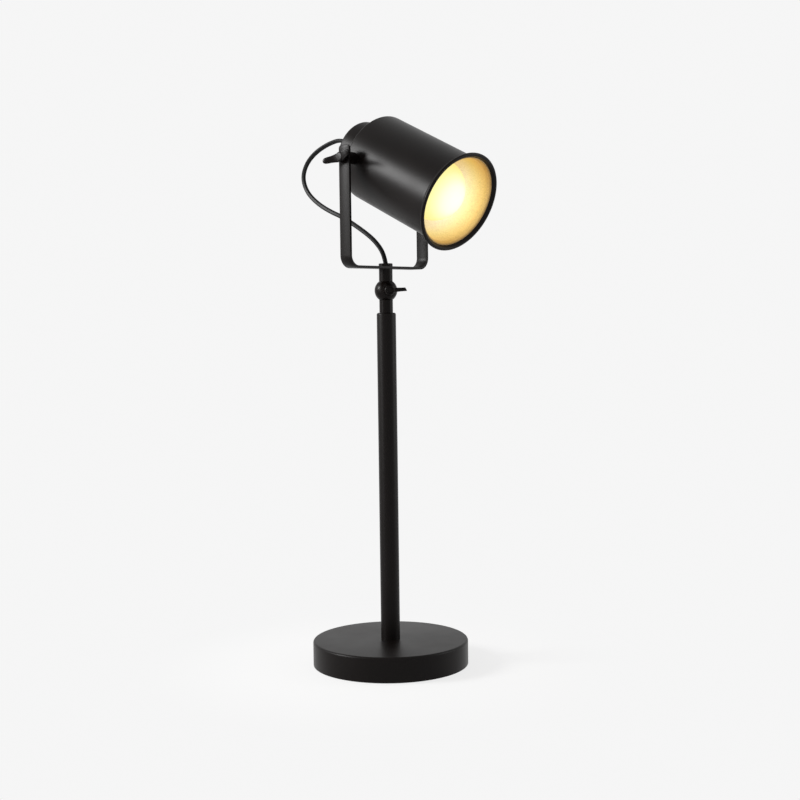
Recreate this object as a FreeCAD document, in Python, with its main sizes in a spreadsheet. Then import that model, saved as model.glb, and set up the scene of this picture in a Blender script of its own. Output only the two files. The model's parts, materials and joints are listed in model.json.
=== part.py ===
import FreeCAD, Part
import math
import os
import Sketcher
from FreeCAD import Placement, Rotation, Vector

# A table searchlight: weighted base, pole, ball knuckle, strip yoke and a tilting can.
# Origin at the middle of the base's underside, +Z up. The can points to -Y at rest.

doc = FreeCAD.newDocument("searchlight_lamp")
sheet = doc.addObject("Spreadsheet::Sheet", "Sizes")


class Size:
    """A size of the lamp: its number, and the expression that ties a feature to it."""

    def __init__(self, value, text):
        self.value = float(value)
        self.text = text

    def __add__(self, other):
        return joined(self, "+", other)

    def __radd__(self, other):
        return joined(other, "+", self)

    def __sub__(self, other):
        return joined(self, "-", other)

    def __rsub__(self, other):
        return joined(other, "-", self)

    def __mul__(self, other):
        return joined(self, "*", other)

    def __rmul__(self, other):
        return joined(other, "*", self)

    def __truediv__(self, other):
        return joined(self, "/", other)

    def __neg__(self):
        return joined(0, "-", self)


def as_size(number):
    return number if isinstance(number, Size) else Size(number, f"({number:g})")


def joined(left, sign, right):
    left = as_size(left)
    right = as_size(right)
    value = {
        "+": left.value + right.value,
        "-": left.value - right.value,
        "*": left.value * right.value,
        "/": left.value / (right.value or 1),
    }[sign]
    return Size(value, f"({left.text} {sign} {right.text})")


def root(square):
    return Size(math.sqrt(square.value), f"sqrt({square.text})")


def sine(angle):
    return Size(math.sin(math.radians(angle.value)), f"sin({angle.text})")


def cosine(angle):
    return Size(math.cos(math.radians(angle.value)), f"cos({angle.text})")


rows = []


def size(name, value, note):
    rows.append(name)
    row = len(rows)
    sheet.set(f"A{row}", note)
    sheet.set(f"B{row}", f"{value:g}")
    sheet.setAlias(f"B{row}", name)
    return Size(value, f"Sizes.{name}")


# Clearances
fit_gap = size("fit_gap", 0.05, "radial gap of a screw or insert in its hole")
turn_gap = size("turn_gap", 0.3, "gap between curved faces that pass each other")
loose_gap = size("loose_gap", 0.6, "gap of the weight in the shell")

# Base
base_radius = size("base_radius", 77.5, "outer radius of the base")
base_height = size("base_height", 25.4, "table to the top of the base")
base_wall = size("base_wall", 1.0, "sheet of the base shell")
base_edge = size("base_edge", 2.6, "rounding of the shell's top edge")
skirt_gap = size("skirt_gap", 0.8, "table to the shell's lower edge")
pad_inset = size("pad_inset", 3.5, "rubber pad's edge inside the base's")
pad_thick = size("pad_thick", 2.0, "thickness of the rubber pad")
weight_thick = size("weight_thick", 13.0, "thickness of the iron disc")
hub_radius = size("hub_radius", 26.0, "radius of the iron disc's raised hub")
recess_radius = size("recess_radius", 18.0, "radius of the recess round the base nut")
recess_depth = size("recess_depth", 14.0, "depth of the recess round the base nut")
groove_width = size("groove_width", 9.0, "width of the lead's groove under the weight")
groove_depth = size("groove_depth", 9.6, "depth of the lead's groove under the weight")
notch_width = size("notch_width", 14.0, "width of the weight's notch at the grommet")
notch_depth = size("notch_depth", 3.4, "depth of the weight's notch at the grommet")

# Threaded tubes, nuts and washers
nipple_radius = size("nipple_radius", 5.0, "radius of the hollow threaded tubes")
nipple_bore = size("nipple_bore", 3.2, "bore of the hollow threaded tubes")
base_nut_flats = size("base_nut_flats", 17.0, "width over flats of the base nut")
base_nut_thick = size("base_nut_thick", 4.5, "thickness of the base nut")
base_nut_end = size("base_nut_end", 0.8, "threaded tube showing past the base nut")
base_washer_radius = size("base_washer_radius", 12.0, "radius of the base washer")
base_washer_thick = size("base_washer_thick", 1.5, "thickness of the base washer")

# Grommet in the rear of the skirt
grommet_height = size("grommet_height", 8.2, "table to the middle of the grommet")
grommet_bore = size("grommet_bore", 3.2, "radius of the grommet's bore")
grommet_neck = size("grommet_neck", 4.4, "radius of the grommet's neck")
grommet_flange = size("grommet_flange", 5.8, "radius of the grommet's flanges")
grommet_lip = size("grommet_lip", 1.5, "thickness of each of the grommet's flanges")

# Pole
pole_radius = size("pole_radius", 9.5, "outer radius of the pole")
pole_wall = size("pole_wall", 1.2, "wall of the pole")
pole_length = size("pole_length", 325.7, "length of the pole")
pole_lip_round = size("pole_lip_round", 1.8, "rounding of the pole's rolled top")
plug_length = size("plug_length", 14.0, "length of the threaded plugs in the pole")
plug_grip = size("plug_grip", 2.0, "threaded tube past each plug")

# Knuckle
ball_rise = size("ball_rise", 21.9, "pole's top to the middle of the knuckle")
ball_radius = size("ball_radius", 11.25, "radius of the knuckle's ball")
neck_radius = size("neck_radius", 6.7, "radius of both necks")
knuckle_heading = size("knuckle_heading", -31.0, "screw's heading from -Y, counter-clockwise")
half_gap = size("half_gap", 0.6, "thickness of the washer between the halves")
cavity_radius = size("cavity_radius", 7.4, "radius of the room for the lead")
cavity_depth = size("cavity_depth", 3.2, "depth of that room in each half")
friction_inner = size("friction_inner", 7.6, "inner radius of the friction washer")
friction_outer = size("friction_outer", 10.6, "outer radius of the friction washer")
neck_channel = size("neck_channel", 3.4, "radius of the lead's channel through a half")
seat_depth = size("seat_depth", 1.25, "flat for the screw's hub cut below the ball")
seat_radius = size("seat_radius", 5.6, "radius of that flat")
clamp_radius = size("clamp_radius", 2.5, "radius of the clamp screws' shanks")
clamp_nut_flats = size("clamp_nut_flats", 8.0, "width over flats of the clamp nuts")
clamp_nut_thick = size("clamp_nut_thick", 3.6, "thickness of the clamp nuts")
lever_hub_radius = size("lever_hub_radius", 5.0, "radius of the lever screw's hub")
lever_hub_height = size("lever_hub_height", 5.6, "height of the lever screw's hub")
lever_length = size("lever_length", 17.6, "screw's axis to the lever's end")
lever_slant = size("lever_slant", 0.8, "how far the lever's end slants")
lever_root = size("lever_root", 4.4, "thickness of the lever at the hub")
lever_tip = size("lever_tip", 3.6, "thickness of the lever at its end")
lever_depth = size("lever_depth", 4.2, "width of the lever along the screw")
lever_lift = size("lever_lift", 0.7, "hub's face to the lever's lower side")
lever_roll = size("lever_roll", 3.0, "lever's angle above level at rest")

# Yoke
strip_thick = size("strip_thick", 2.5, "thickness of the yoke's strip")
strip_width = size("strip_width", 13.5, "width of the yoke's strip")
yoke_bend = size("yoke_bend", 12.0, "outer radius of the yoke's bends")
yoke_washer = size("yoke_washer", 0.5, "thickness of the thin washer under the yoke")
neck_rise = size("neck_rise", 21.2, "middle of the knuckle to the yoke's strip")
swing_room = size("swing_room", 56.2, "yoke nut's top to the underside of a level can")
arm_over = size("arm_over", 12.0, "arm's end above the tilting axis")
arm_corner = size("arm_corner", 3.5, "rounding of the arms' corners")
yoke_nut_radius = size("yoke_nut_radius", 6.9, "radius of the yoke nut")
yoke_nut_height = size("yoke_nut_height", 2.9, "height of the yoke nut")
yoke_nut_lip = size("yoke_nut_lip", 1.0, "closed end of the yoke nut")
yoke_nut_edge = size("yoke_nut_edge", 0.7, "rounding of the yoke nut's top")

# Can
tilt = size("tilt", 25.6, "can's axis below level at rest")
can_radius = size("can_radius", 43.2, "outer radius of the can")
can_wall = size("can_wall", 0.9, "sheet of the can and its cap")
can_front = size("can_front", 108.1, "tilting axis to the plane of the rim")
can_back = size("can_back", 10.6, "tilting axis to the can's back")
can_edge = size("can_edge", 2.2, "rounding of the can's back edge")
flare_rise = size("flare_rise", 5.4, "rim's outer radius beyond the can's")
bead_size = size("bead_size", 3.0, "thickness of the rolled rim")
flare_length = size("flare_length", 6.6, "length of the flare behind the rim")
flare_round = size("flare_round", 5.0, "radius where the flare leaves the can")
liner_gap = size("liner_gap", 0.1, "gap between the liner and the can")
liner_wall = size("liner_wall", 1.0, "thickness of the liner")
liner_start = size("liner_start", 9.0, "tilting axis to the liner's back edge")
liner_inset = size("liner_inset", 3.9, "liner's front edge behind the rim")
cap_room = size("cap_room", 8.4, "lampholder's side to the outside of the rear cap")
cap_length = size("cap_length", 28.2, "length of the rear cap")
cap_edge = size("cap_edge", 3.2, "rounding of the cap's rear edge")
cap_screw_inset = size("cap_screw_inset", 4.0, "cap screws' ring inside the cap's outer radius")
cap_screw_radius = size("cap_screw_radius", 1.5, "radius of the cap screws' shanks")
cap_screw_head = size("cap_screw_head", 2.6, "radius of the cap screws' heads")
cap_head_height = size("cap_head_height", 1.8, "height of the cap screws' heads")
cap_nut_flats = size("cap_nut_flats", 5.0, "width over flats of the cap nuts")
cap_nut_thick = size("cap_nut_thick", 2.2, "thickness of the cap nuts")

# Pivot
washer_radius = size("washer_radius", 5.8, "radius of the washers on the arms")
washer_thick = size("washer_thick", 0.8, "thickness of the washers on the arms")
spacer_radius = size("spacer_radius", 5.7, "radius of the spacers beside the can")
spacer_length = size("spacer_length", 9.9, "length of the spacers beside the can")
wing_hub_radius = size("wing_hub_radius", 5.4, "radius of a wing screw's hub")
wing_hub_height = size("wing_hub_height", 6.4, "height of a wing screw's hub")
wing_reach = size("wing_reach", 18.4, "screw's axis to a wing's tip, along the wing")
wing_root = size("wing_root", 8.6, "width of a wing at its hub")
wing_tip = size("wing_tip", 6.4, "width of a wing near its tip")
wing_thick = size("wing_thick", 3.2, "thickness of a wing")
wing_edge = size("wing_edge", 1.1, "rounding of the wings' edges")
wing_rise = size("wing_rise", 3.4, "hub's face to the wings' root")
wing_sweep = size("wing_sweep", 24.0, "angle by which the wings lean outwards")
wing_roll = size("wing_roll", 11.0, "rear wing's angle below level at rest")
screw_end = size("screw_end", 1.0, "screw showing past its nut")

# Lampholder and bulb
holder_radius = size("holder_radius", 19.4, "outer radius of the lampholder")
holder_wall = size("holder_wall", 1.8, "wall of the lampholder")
holder_cap_length = size("holder_cap_length", 22.0, "length of the lampholder's cap")
holder_sleeve_length = size("holder_sleeve_length", 34.0, "length of the lampholder's sleeve")
holder_boss = size("holder_boss", 6.0, "thickness of the lampholder cap's end")
holder_edge = size("holder_edge", 6.0, "rounding of the lampholder cap's shoulder")
locknut_flats = size("locknut_flats", 16.0, "width over flats of the lampholder's locknut")
locknut_thick = size("locknut_thick", 3.0, "thickness of the lampholder's locknut")
block_lift = size("block_lift", 15.7, "lampholder cap's boss to the contact block")
block_thick = size("block_thick", 9.0, "thickness of the contact block")
socket_radius = size("socket_radius", 13.25, "inner radius of the brass screw shell")
socket_wall = size("socket_wall", 0.5, "thickness of the brass screw shell")
socket_length = size("socket_length", 22.0, "length of the brass screw shell")
spring_radius = size("spring_radius", 4.0, "radius of the centre contact")
spring_height = size("spring_height", 1.6, "height of the centre contact")
bulb_radius = size("bulb_radius", 30.0, "radius of the bulb")
bulb_length = size("bulb_length", 104.6, "length of the bulb with its cap")
bulb_waist = size("bulb_waist", 42.0, "bulb's top to the end of its round part")
bulb_neck = size("bulb_neck", 64.0, "bulb's top to its neck")
neck_wide = size("neck_wide", 15.2, "radius of the bulb's neck")
glass_thick = size("glass_thick", 1.0, "thickness of the bulb's glass")
bulb_cap_radius = size("bulb_cap_radius", 13.1, "radius of the bulb's screw cap")
bulb_cap_length = size("bulb_cap_length", 25.0, "length of the bulb's screw cap")
bulb_cap_wall = size("bulb_cap_wall", 0.4, "sheet of the bulb's screw cap")
bulb_button = size("bulb_button", 4.8, "radius of the bulb's end contact")
button_height = size("button_height", 2.6, "height of the bulb's end contact")

# Leads
lead_radius = size("lead_radius", 2.3, "radius of the lead")
bush_length = size("bush_length", 10.0, "cap to the end of the cord bush")
bush_radius = size("bush_radius", 7.6, "radius of the cord bush at the cap")
bush_flange = size("bush_flange", 2.2, "thickness of the cord bush's flange")
bush_tip = size("bush_tip", 4.2, "radius of the cord bush at its end")
bush_run = size("bush_run", 15.1, "straight run of the lead out of the bush")
bush_thread = size("bush_thread", 7.0, "depth of the cord bush's thread")
lead_gap = size("lead_gap", 0.7, "lead's end below the yoke nut's top")
lead_reach = size("lead_reach", 117.6, "pole's axis to the back of the free lead's loop")

# Derived places
shell_under = base_height - base_wall
weight_top = pad_thick + weight_thick
recess_top = pad_thick + recess_depth
base_nut_top = recess_top - base_washer_thick
base_nut_foot = base_nut_top - base_nut_thick
base_tube_foot = base_nut_foot - base_nut_end
tube_hole = nipple_radius + fit_gap
pole_bore = pole_radius - pole_wall
pole_top = base_height + pole_length
plug_top = pole_top - pole_wall
pad_radius = base_radius - pad_inset
lip_hole = neck_radius + turn_gap
ball_height = pole_top + ball_rise
yoke_foot = ball_height + neck_rise
neck_thread = neck_rise - yoke_washer - ball_radius - turn_gap * 1.5
plug_radius = pole_bore - fit_gap
lower_neck = ball_height - plug_top
upper_neck = yoke_foot - yoke_washer - ball_height
seat_height = ball_radius - seat_depth
clamp_hole = clamp_radius + fit_gap
strip_top = yoke_foot + strip_thick
yoke_nut_top = strip_top + yoke_nut_height
pivot_height = yoke_nut_top + swing_room + can_radius
arm_inner = can_radius + spacer_length
arm_outer = arm_inner + strip_thick
rim_radius = can_radius + flare_rise
can_inner = can_radius - can_wall
cap_radius = holder_radius + cap_room
cap_screw_ring = cap_radius - cap_screw_inset
back_hole = cap_screw_ring - cap_screw_head
cap_rear = can_back + cap_length
lead_hole = lead_radius + turn_gap
bush_end = cap_rear + bush_length
holder_foot = can_wall - cap_rear + locknut_thick
block_foot = holder_foot + holder_boss + block_lift
block_top = block_foot + block_thick
bulb_foot = block_top + spring_height
bulb_top = bulb_foot + bulb_length

pieces = {}
features = []


def piece(kind, name):
    part = doc.addObject(kind, name)
    part.Label = name
    pieces[name] = part
    return part


def bound(item, field, value):
    # gives the field its number and, where a size is behind it, the expression
    value = as_size(value)
    if hasattr(item, field):
        setattr(item, field, value.value)
    if "Sizes." in value.text:
        item.setExpression(field, value.text)


def origin_part(body, role):
    return [part for part in body.Origin.OriginFeatures if part.Role == role][0]


def sketch_on(body, role, lift=0, lean=None):
    # lift is the sketch's distance along the plane's normal, lean its turn in that plane
    sketch = body.newObject("Sketcher::SketchObject", body.Name + "_sketch")
    sketch.AttachmentSupport = [(origin_part(body, role), "")]
    sketch.MapMode = "FlatFace"
    if lean is not None:
        sketch.AttachmentOffset = Placement(Vector(0, 0, 0), lean)
    bound(sketch, "AttachmentOffset.Base.z", lift)
    return sketch


def pin_point(sketch, shape, spot, across, up):
    # a point of a sketch is held by its two distances from the origin
    for axis, kind, distance in ((-2, "DistanceX", across), (-1, "DistanceY", up)):
        distance = as_size(distance)
        if distance.value == 0 and "Sizes." not in distance.text:
            sketch.addConstraint(Sketcher.Constraint("PointOnObject", shape, spot, axis))
            continue
        rule = Sketcher.Constraint(kind, -1, 1, shape, spot, distance.value)
        number = sketch.addConstraint(rule)
        if "Sizes." in distance.text:
            sketch.setExpression(f"Constraints[{number}]", distance.text)


def flat(point):
    return Vector(as_size(point[0]).value, as_size(point[1]).value, 0)


def rounding(before, corner, after, radius):
    # the ends and the middle of the arc that rounds a corner
    into = (corner - before).normalize()
    out = (after - corner).normalize()
    half_turn = into.getAngle(out) / 2
    reach = radius * math.tan(half_turn)
    start = corner - into * reach
    end = corner + out * reach
    left = into.x * out.y - into.y * out.x > 0
    across = Vector(-into.y, into.x, 0) * (radius if left else -radius)
    return start, end, start + across, left


def outline(sketch, corners):
    # a closed outline; a corner is (across, up) or (across, up, radius of its rounding)
    spots = [flat(corner) for corner in corners]
    ends = []
    for index, corner in enumerate(corners):
        spot = spots[index]
        if len(corner) == 3:
            after = spots[(index + 1) % len(spots)]
            radius = as_size(corner[2]).value
            ends.append(rounding(spots[index - 1], spot, after, radius))
        else:
            ends.append((spot, spot, None, None))
    lines = []
    for index in range(len(corners)):
        start = ends[index][1]
        end = ends[(index + 1) % len(ends)][0]
        lines.append(sketch.addGeometry(Part.LineSegment(start, end)))
    for index, corner in enumerate(corners):
        before = lines[index - 1]
        after = lines[index]
        if len(corner) == 2:
            sketch.addConstraint(Sketcher.Constraint("Coincident", before, 2, after, 1))
            pin_point(sketch, after, 1, corner[0], corner[1])
            continue
        start, end, middle, left = ends[index]
        radius = as_size(corner[2])
        circle = Part.Circle(middle, Vector(0, 0, 1), radius.value)
        first = math.atan2(start.y - middle.y, start.x - middle.x)
        last = math.atan2(end.y - middle.y, end.x - middle.x)
        if not left:
            first, last = last, first
        arc = sketch.addGeometry(Part.ArcOfCircle(circle, first, last))
        from_spot = 1 if left else 2
        sketch.addConstraint(Sketcher.Constraint("Tangent", before, 2, arc, from_spot))
        sketch.addConstraint(Sketcher.Constraint("Tangent", arc, 3 - from_spot, after, 1))
        number = sketch.addConstraint(Sketcher.Constraint("Radius", arc, radius.value))
        if "Sizes." in radius.text:
            sketch.setExpression(f"Constraints[{number}]", radius.text)
        point = sketch.addGeometry(Part.Point(spots[index]), True)
        sketch.addConstraint(Sketcher.Constraint("PointOnObject", point, 1, before))
        sketch.addConstraint(Sketcher.Constraint("PointOnObject", point, 1, after))
        pin_point(sketch, point, 1, corner[0], corner[1])


def round_hole(sketch, radius, across=0, up=0):
    radius = as_size(radius)
    middle = flat((across, up))
    circle = sketch.addGeometry(Part.Circle(middle, Vector(0, 0, 1), radius.value))
    number = sketch.addConstraint(Sketcher.Constraint("Radius", circle, radius.value))
    if "Sizes." in radius.text:
        sketch.setExpression(f"Constraints[{number}]", radius.text)
    pin_point(sketch, circle, 3, across, up)


def hexagon(sketch, flats, across=0, up=0):
    # two of its corners lie on the sketch's upward direction
    side = flats / math.sqrt(3)
    corners = []
    for right, above in ((0, 1), (1, 0.5), (1, -0.5), (0, -1), (-1, -0.5), (-1, 0.5)):
        corners.append((across + flats * (right / 2), up + side * above))
    outline(sketch, corners)


def feature(body, kind, sketch):
    step = body.newObject("PartDesign::" + kind, body.Name + "_" + kind.lower())
    step.Profile = (sketch, [""])
    features.append(step)
    body.Tip = step
    return step


def spun(body, kind, sketch, axis="V_Axis"):
    step = feature(body, kind, sketch)
    step.ReferenceAxis = (sketch, [axis])
    step.Angle = 360
    return step


def pushed(body, kind, sketch, length, both=False, back=False):
    step = feature(body, kind, sketch)
    if both:
        step.SideType = "Symmetric"
    step.Reversed = back
    bound(step, "Length", length)
    return step


def through(body, sketch):
    step = feature(body, "Pocket", sketch)
    step.Type = "ThroughAll"
    step.SideType = "Symmetric"
    return step


def around(body, steps, count):
    # copies of the steps round the body's Z axis
    ring = body.newObject("PartDesign::PolarPattern", body.Name + "_ring")
    ring.Originals = steps
    ring.Axis = (origin_part(body, "Z_Axis"), [""])
    ring.Angle = 360
    ring.Occurrences = count
    body.Tip = ring
    features.append(ring)
    return ring


def turned(name, corners):
    # a piece turned round its own Z axis; corners are (radius, height)
    body = piece("PartDesign::Body", name)
    sketch = sketch_on(body, "XZ_Plane")
    outline(sketch, corners)
    spun(body, "Revolution", sketch)
    return body


def ring_corners(inner, outer, low, high):
    return [(inner, low), (outer, low), (outer, high), (inner, high)]


def place(body, base, rotation):
    body.Placement = Placement(Vector(*[as_size(part).value for part in base]), rotation)
    for axis, part in zip("xyz", base):
        part = as_size(part)
        if "Sizes." in part.text:
            body.setExpression(f"Placement.Base.{axis}", part.text)


def seat_on_head(body):
    # the can's own frame: Z runs forward along its axis, X along the tilting axis
    place(body, (0, 0, pivot_height), Rotation(Vector(1, 0, 0), 90 + tilt.value))
    body.setExpression("Placement.Rotation.Angle", (tilt + 90).text)
    return body


def nut(name, flats, thick, foot, bore):
    body = piece("PartDesign::Body", name)
    sketch = sketch_on(body, "XY_Plane", foot)
    hexagon(sketch, flats)
    pushed(body, "Pad", sketch, thick)
    sketch = sketch_on(body, "XY_Plane", foot)
    round_hole(sketch, bore)
    through(body, sketch)
    return body


# Base
def make_base():
    shell = turned("base_shell", [
        (tube_hole, base_height),
        (base_radius, base_height, base_edge),
        (base_radius, skirt_gap),
        (base_radius - base_wall, skirt_gap),
        (base_radius - base_wall, shell_under, base_edge - base_wall),
        (tube_hole, shell_under),
    ])
    sketch = sketch_on(shell, "XZ_Plane")
    round_hole(sketch, grommet_neck + fit_gap, 0, grommet_height)
    pushed(shell, "Pocket", sketch, base_radius * 1.2)

    weight_radius = base_radius - base_wall - loose_gap
    weight = turned("base_weight", [
        (recess_radius, pad_thick),
        (weight_radius, pad_thick, base_wall),
        (weight_radius, weight_top, base_wall),
        (hub_radius, weight_top, base_wall),
        (hub_radius, shell_under),
        (tube_hole, shell_under),
        (tube_hole, recess_top),
        (recess_radius, recess_top),
    ])
    sketch = sketch_on(weight, "XZ_Plane")
    outline(sketch, [
        (-(groove_width / 2), pad_thick - fit_gap),
        (groove_width / 2, pad_thick - fit_gap),
        (groove_width / 2, pad_thick + groove_depth),
        (-(groove_width / 2), pad_thick + groove_depth),
    ])
    pushed(weight, "Pocket", sketch, base_radius)
    sketch = sketch_on(weight, "XY_Plane")
    outline(sketch, [
        (-(notch_width / 2), weight_radius - notch_depth),
        (notch_width / 2, weight_radius - notch_depth),
        (notch_width / 2, base_radius),
        (-(notch_width / 2), base_radius),
    ])
    through(weight, sketch)

    turned("base_pad", [(0, 0), (pad_radius, 0), (pad_radius, pad_thick), (0, pad_thick)])
    turned("base_washer", ring_corners(tube_hole, base_washer_radius, base_nut_top, recess_top))
    nut("base_nut", base_nut_flats, base_nut_thick, base_nut_foot, tube_hole)
    top = base_height + plug_length + plug_grip
    turned("base_nipple", ring_corners(nipple_bore, nipple_radius, base_tube_foot, top))


# Grommet: its own Z axis runs out of the base, to +Y
def make_grommet():
    skirt_inner = base_radius - base_wall
    inner_face = root(skirt_inner * skirt_inner - grommet_flange * grommet_flange)
    body = turned("cord_grommet", [
        (grommet_bore, inner_face - grommet_lip),
        (grommet_flange, inner_face - grommet_lip, grommet_lip / 3),
        (grommet_flange, inner_face),
        (grommet_neck, inner_face),
        (grommet_neck, base_radius),
        (grommet_flange, base_radius),
        (grommet_flange, base_radius + grommet_lip, grommet_lip / 2),
        (grommet_bore, base_radius + grommet_lip),
    ])
    place(body, (0, 0, grommet_height), Rotation(Vector(1, 0, 0), -90))


# Pole
def make_pole():
    turned("pole_tube", [
        (pole_bore, base_height),
        (pole_radius, base_height),
        (pole_radius, pole_top, pole_lip_round),
        (lip_hole, pole_top),
        (lip_hole, plug_top),
        (pole_bore, plug_top),
    ])
    foot_top = base_height + plug_length
    turned("pole_foot_plug", ring_corners(tube_hole, plug_radius, base_height, foot_top))
    turned("pole_top_plug", ring_corners(tube_hole, plug_radius, plug_top - plug_length, plug_top))
    low = plug_top - plug_length - plug_grip
    high = plug_top + neck_thread - fit_gap
    turned("knuckle_nipple", ring_corners(nipple_bore, nipple_radius, low, high))


# One half of the knuckle, in the knuckle's own frame: the ball's middle at the origin,
# the neck up, and the half's outer side towards -Y
def knuckle_half(name, neck_length):
    body = piece("PartDesign::Body", name)
    ball = body.newObject("PartDesign::AdditiveSphere", name + "_ball")
    bound(ball, "Radius", ball_radius)
    features.append(ball)
    sketch = sketch_on(body, "XY_Plane")
    round_hole(sketch, neck_radius)
    pushed(body, "Pad", sketch, neck_length)

    # room for the other half's ball
    room = ball_radius + turn_gap
    face = -(half_gap / 2)
    sketch = sketch_on(body, "YZ_Plane")
    outline(sketch, [(face, 0), (room, 0), (room, room, room - fit_gap), (face, room)])
    spun(body, "Groove", sketch, "H_Axis")

    # room for the lead round the screw
    sketch = sketch_on(body, "YZ_Plane")
    floor = face - cavity_depth
    outline(sketch, [(floor, 0), (0, 0), (0, cavity_radius), (floor, cavity_radius, cavity_depth / 2)])
    spun(body, "Groove", sketch, "H_Axis")

    # the neck's thread and the channel that joins it to that room
    sketch = sketch_on(body, "XZ_Plane")
    outline(sketch, [
        (0, 0),
        (neck_channel, 0),
        (neck_channel, neck_length - neck_thread),
        (tube_hole, neck_length - neck_thread),
        (tube_hole, neck_length + turn_gap),
        (0, neck_length + turn_gap),
    ])
    spun(body, "Groove", sketch)

    # the screw's hole and the flat for its hub
    sketch = sketch_on(body, "XZ_Plane")
    round_hole(sketch, clamp_hole)
    through(body, sketch)
    sketch = sketch_on(body, "XZ_Plane", seat_height)
    round_hole(sketch, seat_radius)
    pushed(body, "Pocket", sketch, ball_radius, back=True)
    return body


# Knuckle
def make_knuckle():
    heading = Rotation(Vector(0, 0, 1), knuckle_heading.value)
    along_screw = heading.multiply(Rotation(Vector(1, 0, 0), 90))
    middle = (0, 0, ball_height)

    lower = knuckle_half("knuckle_lower", lower_neck)
    sketch = sketch_on(lower, "XZ_Plane", seat_height)
    hexagon(sketch, clamp_nut_flats + fit_gap * 2)
    pushed(lower, "Pocket", sketch, clamp_nut_thick)
    place(lower, middle, heading.multiply(Rotation(Vector(1, 0, 0), 180)))

    upper = knuckle_half("knuckle_upper", upper_neck)
    place(upper, middle, heading)

    faces = (-(half_gap / 2), half_gap / 2)
    washer = turned("knuckle_washer", ring_corners(friction_inner, friction_outer, *faces))
    place(washer, middle, along_screw)

    captive = nut("knuckle_nut", clamp_nut_flats, clamp_nut_thick, -seat_height, clamp_hole)
    place(captive, middle, along_screw)

    screw = turned("knuckle_screw", [
        (0, -seat_height),
        (clamp_radius, -seat_height),
        (clamp_radius, seat_height),
        (lever_hub_radius, seat_height),
        (lever_hub_radius, seat_height + lever_hub_height, lever_hub_radius / 4),
        (0, seat_height + lever_hub_height),
    ])
    sketch = sketch_on(screw, "XY_Plane", seat_height + lever_lift)
    outline(sketch, [
        (0, -(lever_root / 2)),
        (lever_length, -(lever_tip / 2), lever_root / 4),
        (lever_length - lever_slant, lever_tip / 2, lever_root / 4),
        (0, lever_root / 2),
    ])
    pushed(screw, "Pad", sketch, lever_depth)
    place(screw, middle, along_screw.multiply(Rotation(Vector(0, 0, 1), lever_roll.value)))

    low = yoke_foot - yoke_washer - neck_thread + fit_gap
    tube_top = yoke_nut_top - yoke_nut_lip - fit_gap
    turned("neck_nipple", ring_corners(nipple_bore, nipple_radius, low, tube_top))
    turned("yoke_washer", ring_corners(tube_hole, neck_radius, yoke_foot - yoke_washer, yoke_foot))
    turned("yoke_nut", [
        (tube_hole, strip_top),
        (yoke_nut_radius, strip_top),
        (yoke_nut_radius, yoke_nut_top, yoke_nut_edge),
        (lead_hole, yoke_nut_top),
        (lead_hole, yoke_nut_top - yoke_nut_lip),
        (tube_hole, yoke_nut_top - yoke_nut_lip),
    ])


# Yoke
def make_yoke():
    body = piece("PartDesign::Body", "yoke_bracket")
    arm_end = pivot_height + arm_over
    inner_bend = yoke_bend - strip_thick
    sketch = sketch_on(body, "XZ_Plane")
    outline(sketch, [
        (-arm_outer, arm_end),
        (-arm_outer, yoke_foot, yoke_bend),
        (arm_outer, yoke_foot, yoke_bend),
        (arm_outer, arm_end),
        (arm_inner, arm_end),
        (arm_inner, strip_top, inner_bend),
        (-arm_inner, strip_top, inner_bend),
        (-arm_inner, arm_end),
    ])
    pushed(body, "Pad", sketch, strip_width, both=True)

    # the side view: all that lies outside the arms' rounded ends is cut away
    half = strip_width / 2
    sketch = sketch_on(body, "YZ_Plane")
    outline(sketch, [
        (-strip_width, yoke_foot - yoke_bend),
        (strip_width, yoke_foot - yoke_bend),
        (strip_width, arm_end + yoke_bend),
        (-strip_width, arm_end + yoke_bend),
    ])
    outline(sketch, [
        (-half, yoke_foot - strip_thick),
        (half, yoke_foot - strip_thick),
        (half, arm_end, arm_corner),
        (-half, arm_end, arm_corner),
    ])
    through(body, sketch)

    sketch = sketch_on(body, "YZ_Plane")
    round_hole(sketch, clamp_hole, 0, pivot_height)
    through(body, sketch)
    sketch = sketch_on(body, "XY_Plane", yoke_foot)
    round_hole(sketch, tube_hole)
    pushed(body, "Pocket", sketch, strip_thick * 2, both=True)


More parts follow.
